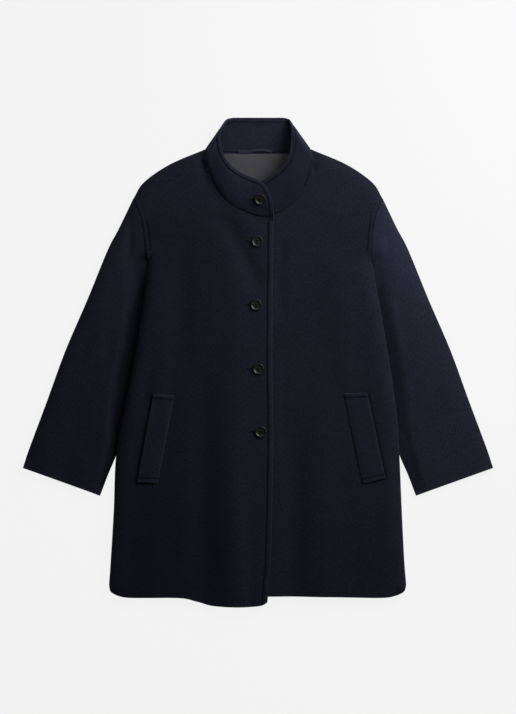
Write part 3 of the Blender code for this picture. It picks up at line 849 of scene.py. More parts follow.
@dataclass
class Collar:
    """Standing funnel collar: one band from the upper front end round the neck to the under end.

    Each rib runs from the neck seam to the top edge of the band's outer face.
    """

    wool: bpy.types.Material
    wall: float = 0.0036
    neck_overlap: float = 0.0015
    pinch: float = 0.62
    bulge: float = 0.0050
    bulge_power: float = 0.6
    bulge_floor: float = 0.0180
    bulge_ramp: float = 0.0030
    rib_steps: int = 12
    rise_steps: int = 44
    flat: tuple[float, float] = (0.560, 0.075)
    area: float = 0.0364
    # painted light on the collar: wearer's right front, left front, back
    painted_light_lean: tuple[float, float, float] = (0.75, -0.2, 0.2)
    edge_roll: float = 0.012
    # painted shadow beside the right fold of the collar
    fold_shade: float = 0.75
    fold_reach: float = 0.0100
    fold_x: float = 0.045
    fold_ramp: float = 0.030
    fold_z: float = 0.010
    fold_rise: float = 0.008
    painted_light_x: float = 0.02
    painted_light_ramps: tuple[float, float] = (0.08, 0.05)
    stitch: Topstitch = Topstitch(inset=0.0095, width=0.0014)
    neck_ribs: dict[Wearer, range] = by_wearer(range(1, 9), range(23, 15, -1))
    front_ribs: int = 5
    foot: Rows = (
        (0.0317, 0.294, 0.0278), (0.025, 0.2935, 0.0278), (0.013, 0.2935, 0.0277),
        (-0.008, 0.297, 0.0275), (-0.04, 0.311, 0.0264), (-0.066, 0.328, 0.0247),
        (-0.086, 0.354, 0.024), (-0.098, 0.381, 0.0232), (-0.105, 0.41, 0.0228),
        (-0.1065, 0.4304, 0.0118), (-0.096, 0.429, 0.001), (-0.06, 0.4256, 0.0), (0.0, 0.4226, 0.0),
        (0.06, 0.4256, 0.0), (0.096, 0.429, 0.001), (0.1065, 0.4304, 0.0118), (0.1065, 0.409, 0.0228),
        (0.1015, 0.383, 0.0232), (0.093, 0.356, 0.024), (0.077, 0.33, 0.024), (0.053, 0.309, 0.024),
        (0.034, 0.3, 0.0236), (0.018, 0.295, 0.0228), (0.002, 0.2935, 0.022), (-0.01, 0.2938, 0.0214),
    )
    top: Rows = (
        (0.0308, 0.312, 0.0335), (0.027, 0.3335, 0.0395), (0.0145, 0.357, 0.0445),
        (-0.001, 0.367, 0.047), (-0.029, 0.379, 0.048), (-0.052, 0.3945, 0.047), (-0.068, 0.417, 0.043),
        (-0.0745, 0.446, 0.0345), (-0.0735, 0.472, 0.026), (-0.066, 0.4885, 0.0115),
        (-0.056, 0.494, 0.001), (-0.03, 0.4945, 0.0), (0.0, 0.4945, 0.0), (0.03, 0.4945, 0.0),
        (0.056, 0.494, 0.001), (0.065, 0.4885, 0.0115), (0.0665, 0.471, 0.026), (0.066, 0.445, 0.033),
        (0.063, 0.422, 0.039), (0.055, 0.403, 0.041), (0.038, 0.386, 0.0405), (0.0235, 0.3745, 0.039),
        (0.009, 0.3655, 0.0368), (-0.003, 0.357, 0.0345), (-0.01, 0.34, 0.03),
    )

    def neck(self, wearer: Wearer, steps: int) -> Array:
        """Plan of the neck seam of one front, from its first rib to the shoulder."""
        return through([self.foot[rib][:2] for rib in self.neck_ribs[wearer]], steps)

    def to_neck(self, plan: Array, wearer: Wearer) -> Array:
        """Plan distance of each point from the neck seam of one front."""
        return distance_to(plan, self.neck(wearer, 4))

    def face(self) -> Array:
        """The band's outer face: ribs that belly out by a power of the sine of their rise.

        Returns:
            Points by rise and rib.
        """
        foot = through(self.foot, self.rib_steps)
        top = through(self.top, self.rib_steps)
        lean = top[:, :2] - foot[:, :2]
        foot[:, :2] -= self.neck_overlap * lean / np.linalg.norm(lean, axis=1)[:, None]
        rise = graded((0.10, 6), (0.74, self.rise_steps - 26), (1.0, 20))[:, None, None]
        band = (1.0 - rise) * foot[None] + rise * top[None]
        standing = np.clip((foot[:, 2] - self.bulge_floor) / self.bulge_ramp, 0.0, 1.0)
        belly = np.maximum(np.sin(math.pi * rise[..., 0]), 0.0) ** self.bulge_power
        band[..., 2] += self.bulge * belly * standing[None, :]
        band[..., 2] = np.maximum(band[..., 2], 0.0)
        return band[:, ::-1]

    def edge_distance(self, band: Array) -> Array:
        """Straight distance from each point to the top edge or the front end of its own half of the band.

        Args:
            band: points of the collar's outer face.

        Returns:
            The distance of each point.
        """
        middle = band.shape[1] // 2
        halves = (band[:, middle::-1], band[:, middle:])
        gaps = [distance_to(half, chain(half[-1], half[::-1, -1])) for half in halves]
        return np.concatenate([gaps[0][:, :0:-1], gaps[1]], axis=1)

    def press(self, band: Array) -> Array:
        """Painted shade with pressed nap along the stitches and the neck seam, and painted shadow by the
        right fold.

        Args:
            band: points of the collar's outer face.

        Returns:
            The darkening of each point, from 0 to 1.
        """
        row = self.stitch.press(self.edge_distance(band))
        up = ClothGrid.lengths(band, 0)
        aside = ease((-band[..., 0] - self.fold_x) / self.fold_ramp)
        aside = aside * ease((band[..., 2] - self.fold_z) / self.fold_rise)
        fold = self.fold_shade * aside * seam_shade(up, self.fold_reach)
        run = ClothGrid.lengths(band, 1)
        ends = np.minimum(run, run[:, -1:] - run)
        return np.maximum(np.maximum(row, seam_shade(up) * ease(ends / self.edge_roll)), fold)

    def lean(self, band: Array) -> Array:
        """Painted light on the collar: brighter on the wearer's right front, darker on the left, a little
        brighter at the back.

        Args:
            band: points of the collar's outer face.

        Returns:
            The lean of each point.
        """
        front = ease((band[..., 2] - self.bulge_floor) / self.bulge_ramp)
        right, left, back = self.painted_light_lean
        across = right * ease((self.painted_light_x - band[..., 0]) / self.painted_light_ramps[0])
        across = across + left * ease((band[..., 0] - self.painted_light_x) / self.painted_light_ramps[1])
        return front * across + (1.0 - front) * back

    def build(self) -> bpy.types.Object:
        """Make the collar, pinched along its stitches.

        Returns:
            The object.
        """
        band = self.face()
        # painted shade with pressed nap, and painted light, for the collar
        grid = ClothGrid(band, self.wall, press=self.press(band), lean=self.lean(band), pinch=self.pinch)
        piece = grid.piece("wool_collar", self.wool)
        return show(piece, Slot.WOOL, "collar")


@dataclass
class Body:
    """The back and the two fronts: a soft, low case of cloth, rolled down to its side and shoulder seams."""

    wool: bpy.types.Material
    collar: Collar
    wall: float = 0.0024
    seam_overlap: float = 0.0012
    body_top: float = 0.024
    hem_top: float = 0.020
    hem_y: float = -0.476
    hem_rise: float = 0.22
    hem_fade: float = 0.20
    side_mid: float = 0.010
    shoulder_mid: float = 0.012
    front_roll: float = 0.028
    back_roll: float = 0.011
    edge_crest: float = 0.011
    crest_reach: float = 0.050
    overlap_lift: float = 0.0034
    overlap_x: float = -0.034
    overlap_blend: float = 0.050
    fold_settle: float = 0.10
    tuck_top_y: float = 0.203
    tuck_low_y: float = -0.190
    tuck_lift: float = 0.0060
    tuck_ramp: float = 0.040
    tuck_ease: float = 0.24
    back_neck_dip: float = 0.0075
    back_neck_start: float = 0.75
    armhole_stitch_low: float = 0.224
    armhole_stitch_high: float = 0.300
    armhole_stitch_fade: float = 0.030
    armhole_stitch_start: float = 0.004
    dent_ease: float = 0.010
    # painted shadow beside the welts' free edges and beside the collar
    mouth_shade: float = 0.8
    mouth_reach: float = 0.0036
    neck_shade: float = 0.75
    neck_shade_y: float = 0.325
    neck_shade_ramp: float = 0.050
    front_flat: tuple[float, float] = (0.345, 0.935)
    front_area: float = 0.2535
    back_flat: tuple[float, float] = (0.625, 0.905)
    back_area: float = 0.476
    edge_stitch: Topstitch = Topstitch(inset=0.0115, depth=0.0011, puff=0.0006)
    armhole_stitch: Topstitch = Topstitch(inset=0.0100, depth=0.0009, puff=0.0003)
    neck_shade_reach: dict[Wearer, float] = by_wearer(0.0105, 0.0045)
    # lines along the welts' free edges where painted shadow darkens the front
    pocket_mouths: dict[Wearer, Rows] = by_wearer(
        ((-0.2130, -0.066), (-0.2460, -0.2405)), ((0.2217, -0.063), (0.2592, -0.2325)))
    # painted shade on the fronts, for each half of the coat
    painted_light_lean: dict[Wearer, float] = by_wearer(-0.22, -0.10)
    painted_light_x: float = 0.02
    painted_light_ramp: float = 0.10
    painted_light_top: float = 0.36
    painted_light_fall: float = 0.12
    painted_light_side: float = 0.06
    front_columns: tuple[tuple[float, int], ...] = ((0.12, 22), (0.92, 84), (1.0, 26))
    back_columns: tuple[tuple[float, int], ...] = ((0.10, 30), (0.90, 70), (1.0, 30))
    folds: tuple[Crease, ...] = (
        Crease(-0.104, 0.120, -0.114, -0.500, 0.026, -0.0062, 0.55),
        Crease(-0.062, 0.020, -0.046, -0.520, 0.032, 0.0056, 0.70),
        Crease(-0.078, 0.315, -0.006, 0.165, 0.019, -0.0056),
        Crease(0.075, -0.060, 0.070, -0.500, 0.024, -0.0036),
        Crease(0.125, 0.020, 0.130, -0.500, 0.034, 0.0036),
        Crease(-0.190, 0.240, -0.205, -0.060, 0.024, 0.0050),
        Crease(-0.150, 0.270, -0.158, 0.020, 0.022, -0.0032),
        Crease(0.046, 0.275, 0.044, 0.110, 0.011, -0.0020),
        Crease(0.165, 0.250, 0.180, -0.020, 0.030, 0.0034),
    )
    dents: tuple[Crease, ...] = (
        Crease(-0.122, 0.440, -0.107, 0.392, 0.0110, -0.0055, 0.60),
        Crease(0.112, 0.428, 0.108, 0.388, 0.0080, -0.0042, 0.25),
    )
    creases: tuple[Crease, ...] = (
        Crease(-0.214, 0.212, -0.150, 0.140, 0.012, -0.0011),
        Crease(0.220, 0.214, 0.168, 0.150, 0.013, -0.0010),
        Crease(-0.150, 0.190, -0.158, -0.030, 0.011, 0.0006),
        Crease(0.105, 0.230, 0.118, 0.060, 0.013, -0.0007),
        Crease(-0.200, -0.300, -0.206, -0.500, 0.016, 0.0011),
        Crease(0.196, -0.330, 0.204, -0.500, 0.018, -0.0010),
        Crease(-0.022, -0.300, -0.012, -0.520, 0.012, -0.0010),
        Crease(0.052, 0.060, 0.049, -0.180, 0.011, -0.0007),
    )

    def tuck(self, y: Array) -> Array:
        """How far the sleeve's edge under it lifts the side: eased in and out between two levels."""
        share = (y - self.tuck_low_y) / (self.tuck_top_y - self.tuck_low_y)
        return self.tuck_lift * ease(share / self.tuck_ease) * ease((1.0 - share) / self.tuck_ease)

    def front_height(self, plan: Array, half: HalfEdges) -> Array:
        """Height of a front's outer face.

        A level that rises from hem to chest, plus folds and creases that fade near the edges, falls in
        a quarter round to the side seam and to the shoulder seam. Dents lie beside the collar. The upper
        front is lifted where it lies over the other one, and topstitching presses grooves beside its
        closing edge and armhole.

        Args:
            plan: X and Y of each point.
            half: the edges of the front's half of the coat.

        Returns:
            The height of each point.
        """
        x, y = plan[..., 0], plan[..., 1]
        to_side = distance_to(plan, half.side_fold())
        to_shoulder = distance_to(plan, half.shoulder_fold())
        lift = self.tuck(y)
        crest = np.exp(-(to_side / self.crest_reach) ** 2)
        level = self.hem_top + (self.body_top - self.hem_top) * ease((y - self.hem_y) / self.hem_rise)
        settle = roll(np.minimum(to_side, to_shoulder), self.fold_settle) ** 2
        folds = sum(fold.lift(plan) for fold in self.folds + self.creases)
        level = level + folds * settle + lift * crest
        side_mid = self.side_mid - self.seam_overlap / 2 + lift
        side_top = np.maximum(level, side_mid + self.edge_crest * crest)
        drop = (side_top - side_mid) * (1.0 - roll(to_side, self.front_roll))
        shoulder_mid = self.shoulder_mid - self.seam_overlap / 2
        drop = drop + (level - shoulder_mid) * (1.0 - roll(to_shoulder, self.front_roll))
        height = side_top - drop
        to_neck = self.collar.to_neck(plan, half.wearer)
        height = height + sum(dent.lift(plan) for dent in self.dents) * ease(to_neck / self.dent_ease)
        height = height + self.armhole_stitch.lift(half.to_armhole(plan)) * self.armhole_stitched(y)
        if half.wearer is Wearer.RIGHT:
            height = height + self.overlap_lift * ease((x - self.overlap_x) / self.overlap_blend + 1.0)
            height = height + self.edge_stitch.lift(half.to_closing(plan))
        return height

    def ground(self, half: HalfEdges) -> Ground:
        """Height field of one front."""
        return lambda plan: self.front_height(plan, half)

    def back_height(self, plan: Array) -> Array:
        """Height of the back's outer face: flat on the floor, rolled up at its side and shoulder seams.

        Args:
            plan: X and Y of each point.

        Returns:
            The height of each point.
        """
        lift = self.tuck(plan[..., 1])
        height = np.zeros(plan.shape[:-1])
        for half in (RIGHT, LEFT):
            to_side = distance_to(plan, half.side_fold())
            to_shoulder = distance_to(plan, half.shoulder_fold())
            ramp = 1.0 - ease((to_side - self.back_roll) / self.tuck_ramp)
            side_mid = self.side_mid + self.seam_overlap / 2
            shoulder_mid = self.shoulder_mid + self.seam_overlap / 2
            height = height + lift * ramp + side_mid * (1.0 - roll(to_side, self.back_roll))
            height = height + shoulder_mid * (1.0 - roll(to_shoulder, self.back_roll))
        return height

    def armhole_stitched(self, y: Array) -> Array:
        """How tight the armhole's stitches are: full above the bar tack, eased out towards the shoulder."""
        above = ease((y - self.armhole_stitch_low) / self.armhole_stitch_start)
        return above * ease((self.armhole_stitch_high - y) / self.armhole_stitch_fade)

    def front_press(self, plan: Array, half: HalfEdges) -> Array:
        """Painted shade with pressed nap at a front's seams and stitches, and painted shadow by welts and
        collar.

        Args:
            plan: X and Y of each point.
            half: the half of the coat.

        Returns:
            The darkening of each point, from 0 to 1.
        """
        y = plan[..., 1]
        to_armhole = half.to_armhole(plan)
        to_neck = self.collar.to_neck(plan, half.wearer)
        to_closing = half.to_closing(plan)
        to_mouth = distance_to(plan, np.array(self.pocket_mouths[half.wearer]))
        beside = ease((y - self.neck_shade_y) / self.neck_shade_ramp)
        shade = self.neck_shade * seam_shade(to_neck, self.neck_shade_reach[half.wearer])
        presses = [
            seam_shade(np.minimum(to_armhole, distance_to(plan, half.shoulder_fold()))),
            seam_shade(to_neck) * ease(to_closing / self.collar.edge_roll),
            self.mouth_shade * seam_shade(to_mouth, self.mouth_reach),
            beside * shade,
            self.armhole_stitch.press(to_armhole) * self.armhole_stitched(y),
        ]
        if half.wearer is Wearer.RIGHT:
            presses.append(self.edge_stitch.press(to_closing))
        return np.max(presses, axis=0)

    def front_lean(self, plan: Array, half: HalfEdges) -> Array:
        """Painted shade on a front: the colour darkened away from the closing and below the shoulder, not at
        the side.

        Args:
            plan: X and Y of each point.
            half: the half of the coat.

        Returns:
            The painted shade of each point, as a negative scale.
        """
        aside = ease((np.abs(plan[..., 0]) - self.painted_light_x) / self.painted_light_ramp)
        low = ease((self.painted_light_top - plan[..., 1]) / self.painted_light_fall)
        inside = ease(distance_to(plan, half.side_fold()) / self.painted_light_side)
        return self.painted_light_lean[half.wearer] * aside * low * inside

    def front_plan(self, half: HalfEdges) -> Array:
        """Straight rows from the side to the closing edge and the neck, the lowest bent to the hem.

        Args:
            half: the half of the coat.

        Returns:
            X and Y of the front's grid.
        """
        outer = half.body_edge()
        closing = half.closing_edge()
        neck_steps = (half.armhole_steps + half.shoulder_steps - half.closing_top_steps) // 8
        corner = np.linspace(closing[-1], self.collar.neck(half.wearer, 1)[0], neck_steps + 1)
        inner = chain(closing, corner, self.collar.neck(half.wearer, neck_steps))
        columns = graded(*self.front_columns)
        hem = through(half.hem, 32)
        hem = at_lengths(hem, columns * run_lengths(hem)[-1])
        weight = np.clip(1.0 - run_lengths(outer) / self.hem_fade, 0.0, 1.0) ** 2
        return bent(ruled(outer, inner, columns), hem, weight)

    def front(self, half: HalfEdges) -> bpy.types.Object:
        """Make one front.

        Args:
            half: the half of the coat.

        Returns:
            The object.
        """
        plan = self.front_plan(half)
        face = np.dstack([plan, self.front_height(plan, half)])
        node = f"front_{half.wearer.word}"
        # painted shade with pressed nap, and painted light, for the front
        press = self.front_press(plan, half)
        lean = self.front_lean(plan, half)
        step = -int(half.wearer.value)
        grid = ClothGrid(face[:, ::step], self.wall, press=press[:, ::step], lean=lean[:, ::step],
                         level_grain=True)
        piece = grid.piece("wool_" + node, self.wool)
        return show(piece, Slot.WOOL, node)

    def back(self) -> bpy.types.Object:
        """Make the back, ruled from side to side with a hollowed neck.

        Returns:
            The object.
        """
        columns = graded(*self.back_columns)
        plan = ruled(RIGHT.body_edge(), LEFT.body_edge(), columns)
        rise = np.clip((RIGHT.row_share() - self.back_neck_start) / (1.0 - self.back_neck_start), 0.0, 1.0)
        plan[..., 1] -= self.back_neck_dip * (rise ** 2)[:, None] * np.sin(math.pi * columns)[None, :]
        face = np.dstack([plan, self.back_height(plan)])
        piece = ClothGrid(face[:, ::-1], self.wall, level_grain=True).piece("wool_back", self.wool)
        return show(piece, Slot.WOOL, "back")


@dataclass
class Sleeve:
    """A set-in sleeve laid flat: a tube from armhole to cuff, its inner edge under the body's side."""

    wool: bpy.types.Material
    half: HalfEdges
    wall: float = 0.0024
    seam_overlap: float = 0.0016
    stations: tuple[float, ...] = (0.0, 0.06, 0.18, 0.5, 1.0)
    top: tuple[float, ...] = (0.0235, 0.0225, 0.0205, 0.0180, 0.0145)
    outer_mid: tuple[float, ...] = (0.0120, 0.0110, 0.0090, 0.0080, 0.0065)
    inner_mid: tuple[float, ...] = (0.0095, 0.0070, 0.0062, 0.0062, 0.0062)
    inner_roll: float = 0.040
    fall_start: float = 0.20
    fall_edge: float = 0.006
    fall_stations: tuple[float, ...] = (0.0, 0.155, 0.32, 0.53, 0.72, 0.86, 1.0)
    under_roll: float = 0.008
    armhole_fade: float = 0.55
    row_power: float = 1.25
    rows: int = 110
    columns: int = 84
    columns_even: float = 0.35
    columns_crowded: float = 0.325
    seam_ease: float = 0.08
    crease_start: float = 0.05
    crease_settle: float = 0.030
    flat: tuple[float, float] = (0.360, 0.600)
    area: float = 0.150
    outer_roll: dict[Wearer, float] = by_wearer(0.024, 0.055)
    fall_middle: dict[Wearer, tuple[float, ...]] = by_wearer(
        (0.010, 0.028, 0.044, 0.042, 0.031, 0.016, 0.006),
        (0.010, 0.022, 0.028, 0.024, 0.020, 0.016, 0.010))
    fall_width: dict[Wearer, float] = by_wearer(0.022, 0.034)
    # painted shadow in the strip beside the body, and painted light down the top
    fall_painted_shade: dict[Wearer, float] = by_wearer(-0.45, -0.05)
    painted_shade_start: float = 0.12
    painted_light_stations: tuple[float, ...] = (0.0, 0.10, 0.25, 0.45, 1.0)
    top_painted_light: dict[Wearer, tuple[float, ...]] = by_wearer(
        (0.10, 0.20, 0.10, 0.0, 0.0), (0.30, 0.60, 0.45, 0.15, 0.15))
    creases: dict[Wearer, tuple[Crease, ...]] = by_wearer(
        (
            Crease(-0.256, 0.322, -0.262, 0.130, 0.011, -0.0030),
            Crease(-0.300, 0.190, -0.330, 0.020, 0.020, 0.0010),
            Crease(-0.330, 0.060, -0.400, -0.060, 0.016, -0.0008),
            Crease(-0.350, -0.060, -0.395, -0.230, 0.022, -0.0011),
        ),
        (
            Crease(0.257, 0.300, 0.268, 0.130, 0.010, -0.0020),
            Crease(0.300, 0.200, 0.335, 0.010, 0.021, 0.0009),
            Crease(0.292, -0.120, 0.320, -0.240, 0.009, -0.0018),
            Crease(0.360, -0.020, 0.410, -0.200, 0.024, -0.0010),
        ),
    )

    def plan(self) -> tuple[Array, Array]:
        """Rows between the sleeve's two edges, the first bent to the armhole.

        Returns:
            The plan points, and how far each row is down the sleeve.
        """
        even_columns = np.linspace(0.0, 1.0, self.columns + 1)
        crowded = 1.0 - np.cos(math.pi * even_columns)
        columns = self.columns_even * even_columns + self.columns_crowded * crowded
        armhole = self.half.body_edge()[self.half.shoulder_start:self.half.side_stop - 1:-1]
        ring = at_lengths(armhole, columns * run_lengths(armhole)[-1])
        stations = np.linspace(0.0, 1.0, self.rows + 1) ** self.row_power
        outer = self.edge(self.half.sleeve_outer, stations)
        inner = self.edge(self.half.sleeve_inner, stations)
        weight = np.clip(1.0 - stations / self.armhole_fade, 0.0, 1.0) ** 2
        plan = bent(ruled(outer, inner, columns), ring, weight)
        under = self.seam_overlap * ease(columns / self.seam_ease)[None, :] * (weight ** 4)[:, None]
        plan[..., 0] -= self.half.wearer.value * under
        return plan, stations

    @staticmethod
    def edge(rows: Rows, stations: Array) -> Array:
        """Points of a sleeve edge at shares of its length."""
        fine = through(rows, 32)
        return at_lengths(fine, stations * run_lengths(fine)[-1])

    def inner_rise(self, to_inner: Array, stations: Array) -> Array:
        """Share of the height gained from the inner edge.

        A quarter round at the armhole turns, further down, into a low strip and a soft step beside it.

        Args:
            to_inner: plan distance of each point from the inner edge.
            stations: how far each row is down the sleeve.

        Returns:
            The share from 0 at the edge to 1 on the top.
        """
        middle = np.interp(stations, self.fall_stations, self.fall_middle[self.half.wearer])[:, None]
        lower = ease(stations / self.fall_start)[:, None]
        step = ease((to_inner - middle) / self.fall_width[self.half.wearer] + 0.5)
        step = step * roll(to_inner, self.fall_edge)
        return (1.0 - lower) * roll(to_inner, self.inner_roll) + lower * step

    def face(self) -> tuple[Array, Array]:
        """Rings over the top and back underneath.

        The top rolls down to the outer edge in a quarter round and falls to the inner edge; the underside
        is flat on the floor and rolls up to the same two edges.

        Returns:
            One ring of points for each row, and its painted light: a tone down the top, painted shadow beside
            the body.
        """
        plan, stations = self.plan()
        heights = (self.top, self.outer_mid, self.inner_mid)
        top, outer_mid, inner_mid = (np.interp(stations, self.stations, row)[:, None] for row in heights)
        to_outer = distance_to(plan, plan[::3, 0])
        to_inner = distance_to(plan, plan[::3, -1])
        settle = roll(np.minimum(to_outer, to_inner), self.crease_settle) ** 2
        folds = sum(crease.lift(plan) for crease in self.creases[self.half.wearer])
        upper = top + folds * settle * ease(stations / self.crease_start)[:, None]
        outer_rise = roll(to_outer, self.outer_roll[self.half.wearer])
        upper = upper - (top - outer_mid) * (1.0 - outer_rise)
        rise = self.inner_rise(to_inner, stations)
        upper = upper - (top - inner_mid) * (1.0 - rise)
        lower = outer_mid * (1.0 - roll(to_outer, self.under_roll))
        lower = lower + inner_mid * (1.0 - roll(to_inner, self.under_roll))
        # painted light down the top, painted shadow in the strip beside the body
        tone = np.interp(stations, self.painted_light_stations, self.top_painted_light[self.half.wearer])[:, None]
        fall = self.fall_painted_shade[self.half.wearer] * ease(stations / self.painted_shade_start)[:, None]
        lean = rise * tone + (1.0 - rise) * fall
        over = np.dstack([plan, upper, lean])
        under = np.dstack([plan, lower, 0.0 * lean])[:, -2:0:-1]
        ring = np.concatenate([over, under], axis=1)
        return ring[..., :3], ring[..., 3]

    def build(self) -> bpy.types.Object:
        """Make the sleeve.

        Returns:
            The object.
        """
        node = f"sleeve_{self.half.wearer.word}"
        face, lean = self.face()
        # pressed nap with painted shade beside the armhole seam
        press = seam_shade(ClothGrid.lengths(face, 0))
        step = int(self.half.wearer.value)
        grid = ClothGrid(face[:, ::step], self.wall, True, press[:, ::step], lean[:, ::step])
        piece = grid.piece("wool_" + node, self.wool)
        return show(piece, Slot.WOOL, node)


def slopes(ground: Ground, plan: Array, step: float = 0.0008) -> Array:
    """Unit normals of a height field, from its differences over a short step either way.

    Args:
        ground: the cloth's height field.
        plan: X and Y of each point.
        step: the step either way.

    Returns:
        The normal at each point.
    """
    along_x, along_y = np.array((step, 0.0)), np.array((0.0, step))
    rise_x = (ground(plan + along_x) - ground(plan - along_x)) / (2.0 * step)
    rise_y = (ground(plan + along_y) - ground(plan - along_y)) / (2.0 * step)
    normal = np.stack([-rise_x, -rise_y, np.ones_like(rise_x)], axis=-1)
    return normal / np.linalg.norm(normal, axis=-1, keepdims=True)


@dataclass
class Sewing:
    """Rows of thread: every stitch is a small bead drawn out along or across its row."""

    thread: bpy.types.Material
    pitch: float = 0.0042
    length: float = 0.0034
    width: float = 0.00062
    height: float = 0.00052
    rings: int = 6
    sides: int = 6

    def row(self, line: Array, normal: Array) -> tuple[Array, Array, Array]:
        """Even places along a line.

        Args:
            line: points of the row.
            normal: the cloth's normal at each point.

        Returns:
            The middle of every stitch, its direction and its normal.
        """
        total = run_lengths(line)[-1]
        count = max(2, int(total / self.pitch))
        middle = (np.arange(count) + 0.5) * total / count
        place = run_lengths(line)
        centre = at_lengths(line, middle)
        up = np.stack([np.interp(middle, place, normal[:, axis]) for axis in range(3)], axis=1)
        ahead = at_lengths(line, middle + 0.2 * self.pitch) - at_lengths(line, middle - 0.2 * self.pitch)
        return centre, ahead, up

    def beads(self, centre: Array, ahead: Array, up: Array, across: bool) -> tuple[Array, Array, Array]:
        """Drawn-out beads.

        A bead's point is its middle plus the half length times a along its direction, plus the half
        width and half height times √(1 − a²) round a circle.

        Args:
            centre: the middle of every bead.
            ahead: the direction of the row there.
            up: the cloth's normal there.
            across: whether beads lie across the row instead of along it.

        Returns:
            Points, side faces and end faces of all beads.
        """
        ahead = ahead / np.linalg.norm(ahead, axis=1, keepdims=True)
        side = np.cross(up, ahead)
        side = side / np.linalg.norm(side, axis=1, keepdims=True)
        lying, beside = (side, -ahead) if across else (ahead, side)
        up = np.cross(lying, beside)
        a = np.cos(np.linspace(0.92 * math.pi, 0.08 * math.pi, self.rings))
        turn = np.linspace(0.0, 2.0 * math.pi, self.sides, endpoint=False)
        slim = np.sqrt(1.0 - a ** 2)
        out = 0.5 * self.width * slim[:, None] * np.cos(turn)[None, :]
        rise = 0.5 * self.height * slim[:, None] * np.sin(turn)[None, :]
        reach = np.broadcast_to((0.5 * self.length * a)[:, None], out.shape)
        points = (centre[:, None, None] + reach[None, ..., None] * lying[:, None, None]
                  + out[None, ..., None] * beside[:, None, None] + rise[None, ..., None] * up[:, None, None])
        number = np.arange(self.rings * self.sides).reshape(self.rings, self.sides)
        first = (np.arange(len(centre)) * self.rings * self.sides)[:, None, None]
        sides = (grid_quads(number, True)[None] + first).reshape(-1, 4)
        caps = np.concatenate([number[:1, ::-1][None] + first, number[-1:][None] + first])
        return points.reshape(-1, 3), sides, caps.reshape(-1, self.sides)

    def sew(self, name: str, rows: list[tuple[Array, Array]], across: bool = False) -> bpy.types.Object:
        """Make one piece of all the stitches of some rows, each row given as points and normals.

        Args:
            name: the object's name.
            rows: points and normals of each row.
            across: whether stitches lie across their row.

        Returns:
            The object.
        """
        points, quads, ends, start = [], [], [], 0
        for line, normal in rows:
            bead_points, sides, caps = self.beads(*self.row(line, normal), across)
            points.append(bead_points)
            quads.append(sides + start)
            ends.append(caps + start)
            start += len(bead_points)
        faces = [*np.vstack(quads).tolist(), *np.vstack(ends).tolist()]
        return show(add_mesh(name, np.vstack(points), faces, self.thread), Slot.WOOL)


@dataclass
class Welt:
    """Slanted welt of a front pocket: a flat double strip, its outer long edge free."""

    wool: bpy.types.Material
    body: Body
    half: HalfEdges
    outer_top: tuple[float, float]
    inner_top: tuple[float, float]
    outer_low: tuple[float, float]
    inner_low: tuple[float, float]
    wall: float = 0.0032
    gap: float = 0.0008
    rows: int = 96
    columns: int = 36
    flat: tuple[float, float] = (0.046, 0.186)
    area: float = 0.0084
    crown: float = 0.0004
    sewn_drop: float = 0.0036
    sewn_reach: float = 0.016
    stitch_margin: float = 0.04
    stitch: Topstitch = Topstitch(inset=0.0090, depth=0.0008, puff=0.0003)

    def plan(self) -> Array:
        """Rows from the lower end to the upper end, each from the outer to the inner long edge.

        Returns:
            X and Y of the welt's grid.
        """
        up = np.linspace(0.0, 1.0, self.rows + 1)[:, None]
        outer = np.array(self.outer_low) + (np.array(self.outer_top) - np.array(self.outer_low)) * up
        inner = np.array(self.inner_low) + (np.array(self.inner_top) - np.array(self.inner_low)) * up
        return ruled(outer, inner, np.linspace(0.0, 1.0, self.columns + 1))

    def ends_distance(self, plan: Array) -> Array:
        """Plan distance from each point to the nearer short end.

        Args:
            plan: X and Y of each point.

        Returns:
            The distance of each point.
        """
        low = np.array((self.outer_low, self.inner_low))
        high = np.array((self.outer_top, self.inner_top))
        return np.minimum(distance_to(plan, low), distance_to(plan, high))

    def ground(self, plan: Array) -> Array:
        """Height of the face: the front's, moved out, crowned, stitched down, sunk at the inner edge.

        Args:
            plan: X and Y of each point.

        Returns:
            The height of each point.
        """
        across = distance_to(plan, np.array((self.outer_low, self.outer_top)))
        to_inner = distance_to(plan, np.array((self.inner_low, self.inner_top)))
        crown = self.crown * np.sin(math.pi * np.clip(across / (across + to_inner), 0.0, 1.0))
        sunk = self.sewn_drop * (1.0 - roll(to_inner, self.sewn_reach))
        height = self.body.front_height(plan, self.half) + self.gap + self.wall - sunk
        return height + crown + self.stitch.lift(self.ends_distance(plan))

    def stitch_rows(self) -> list[tuple[Array, Array]]:
        """A row of stitches across each end.

        Returns:
            Points and normals of both rows.
        """
        along = np.array(self.outer_top) - np.array(self.outer_low)
        along = along / np.linalg.norm(along)
        share = np.linspace(self.stitch_margin, 1.0 - self.stitch_margin, 40)[:, None]
        ends = ((self.outer_low, self.inner_low, 1.0), (self.outer_top, self.inner_top, -1.0))
        rows = []
        for outer, inner, sign in ends:
            line = np.array(outer) + share * (np.array(inner) - np.array(outer))
            line = line + sign * self.stitch.inset * along
            rows.append((np.column_stack([line, self.ground(line)]), slopes(self.ground, line)))
        return rows

    def build(self) -> bpy.types.Object:
        """Make the welt.

        Returns:
            The object.
        """
        node = f"welt_{self.half.wearer.word}"
        plan = self.plan()
        face = np.dstack([plan, self.ground(plan)])
        # pressed nap with painted shade in the grooves of the end stitches
        press = self.stitch.press(self.ends_distance(plan))
        step = -int(self.half.wearer.value)
        grid = ClothGrid(face[:, ::step], self.wall, press=press[:, ::step])
        piece = grid.piece("wool_" + node, self.wool)
        return show(piece, Slot.WOOL, node)


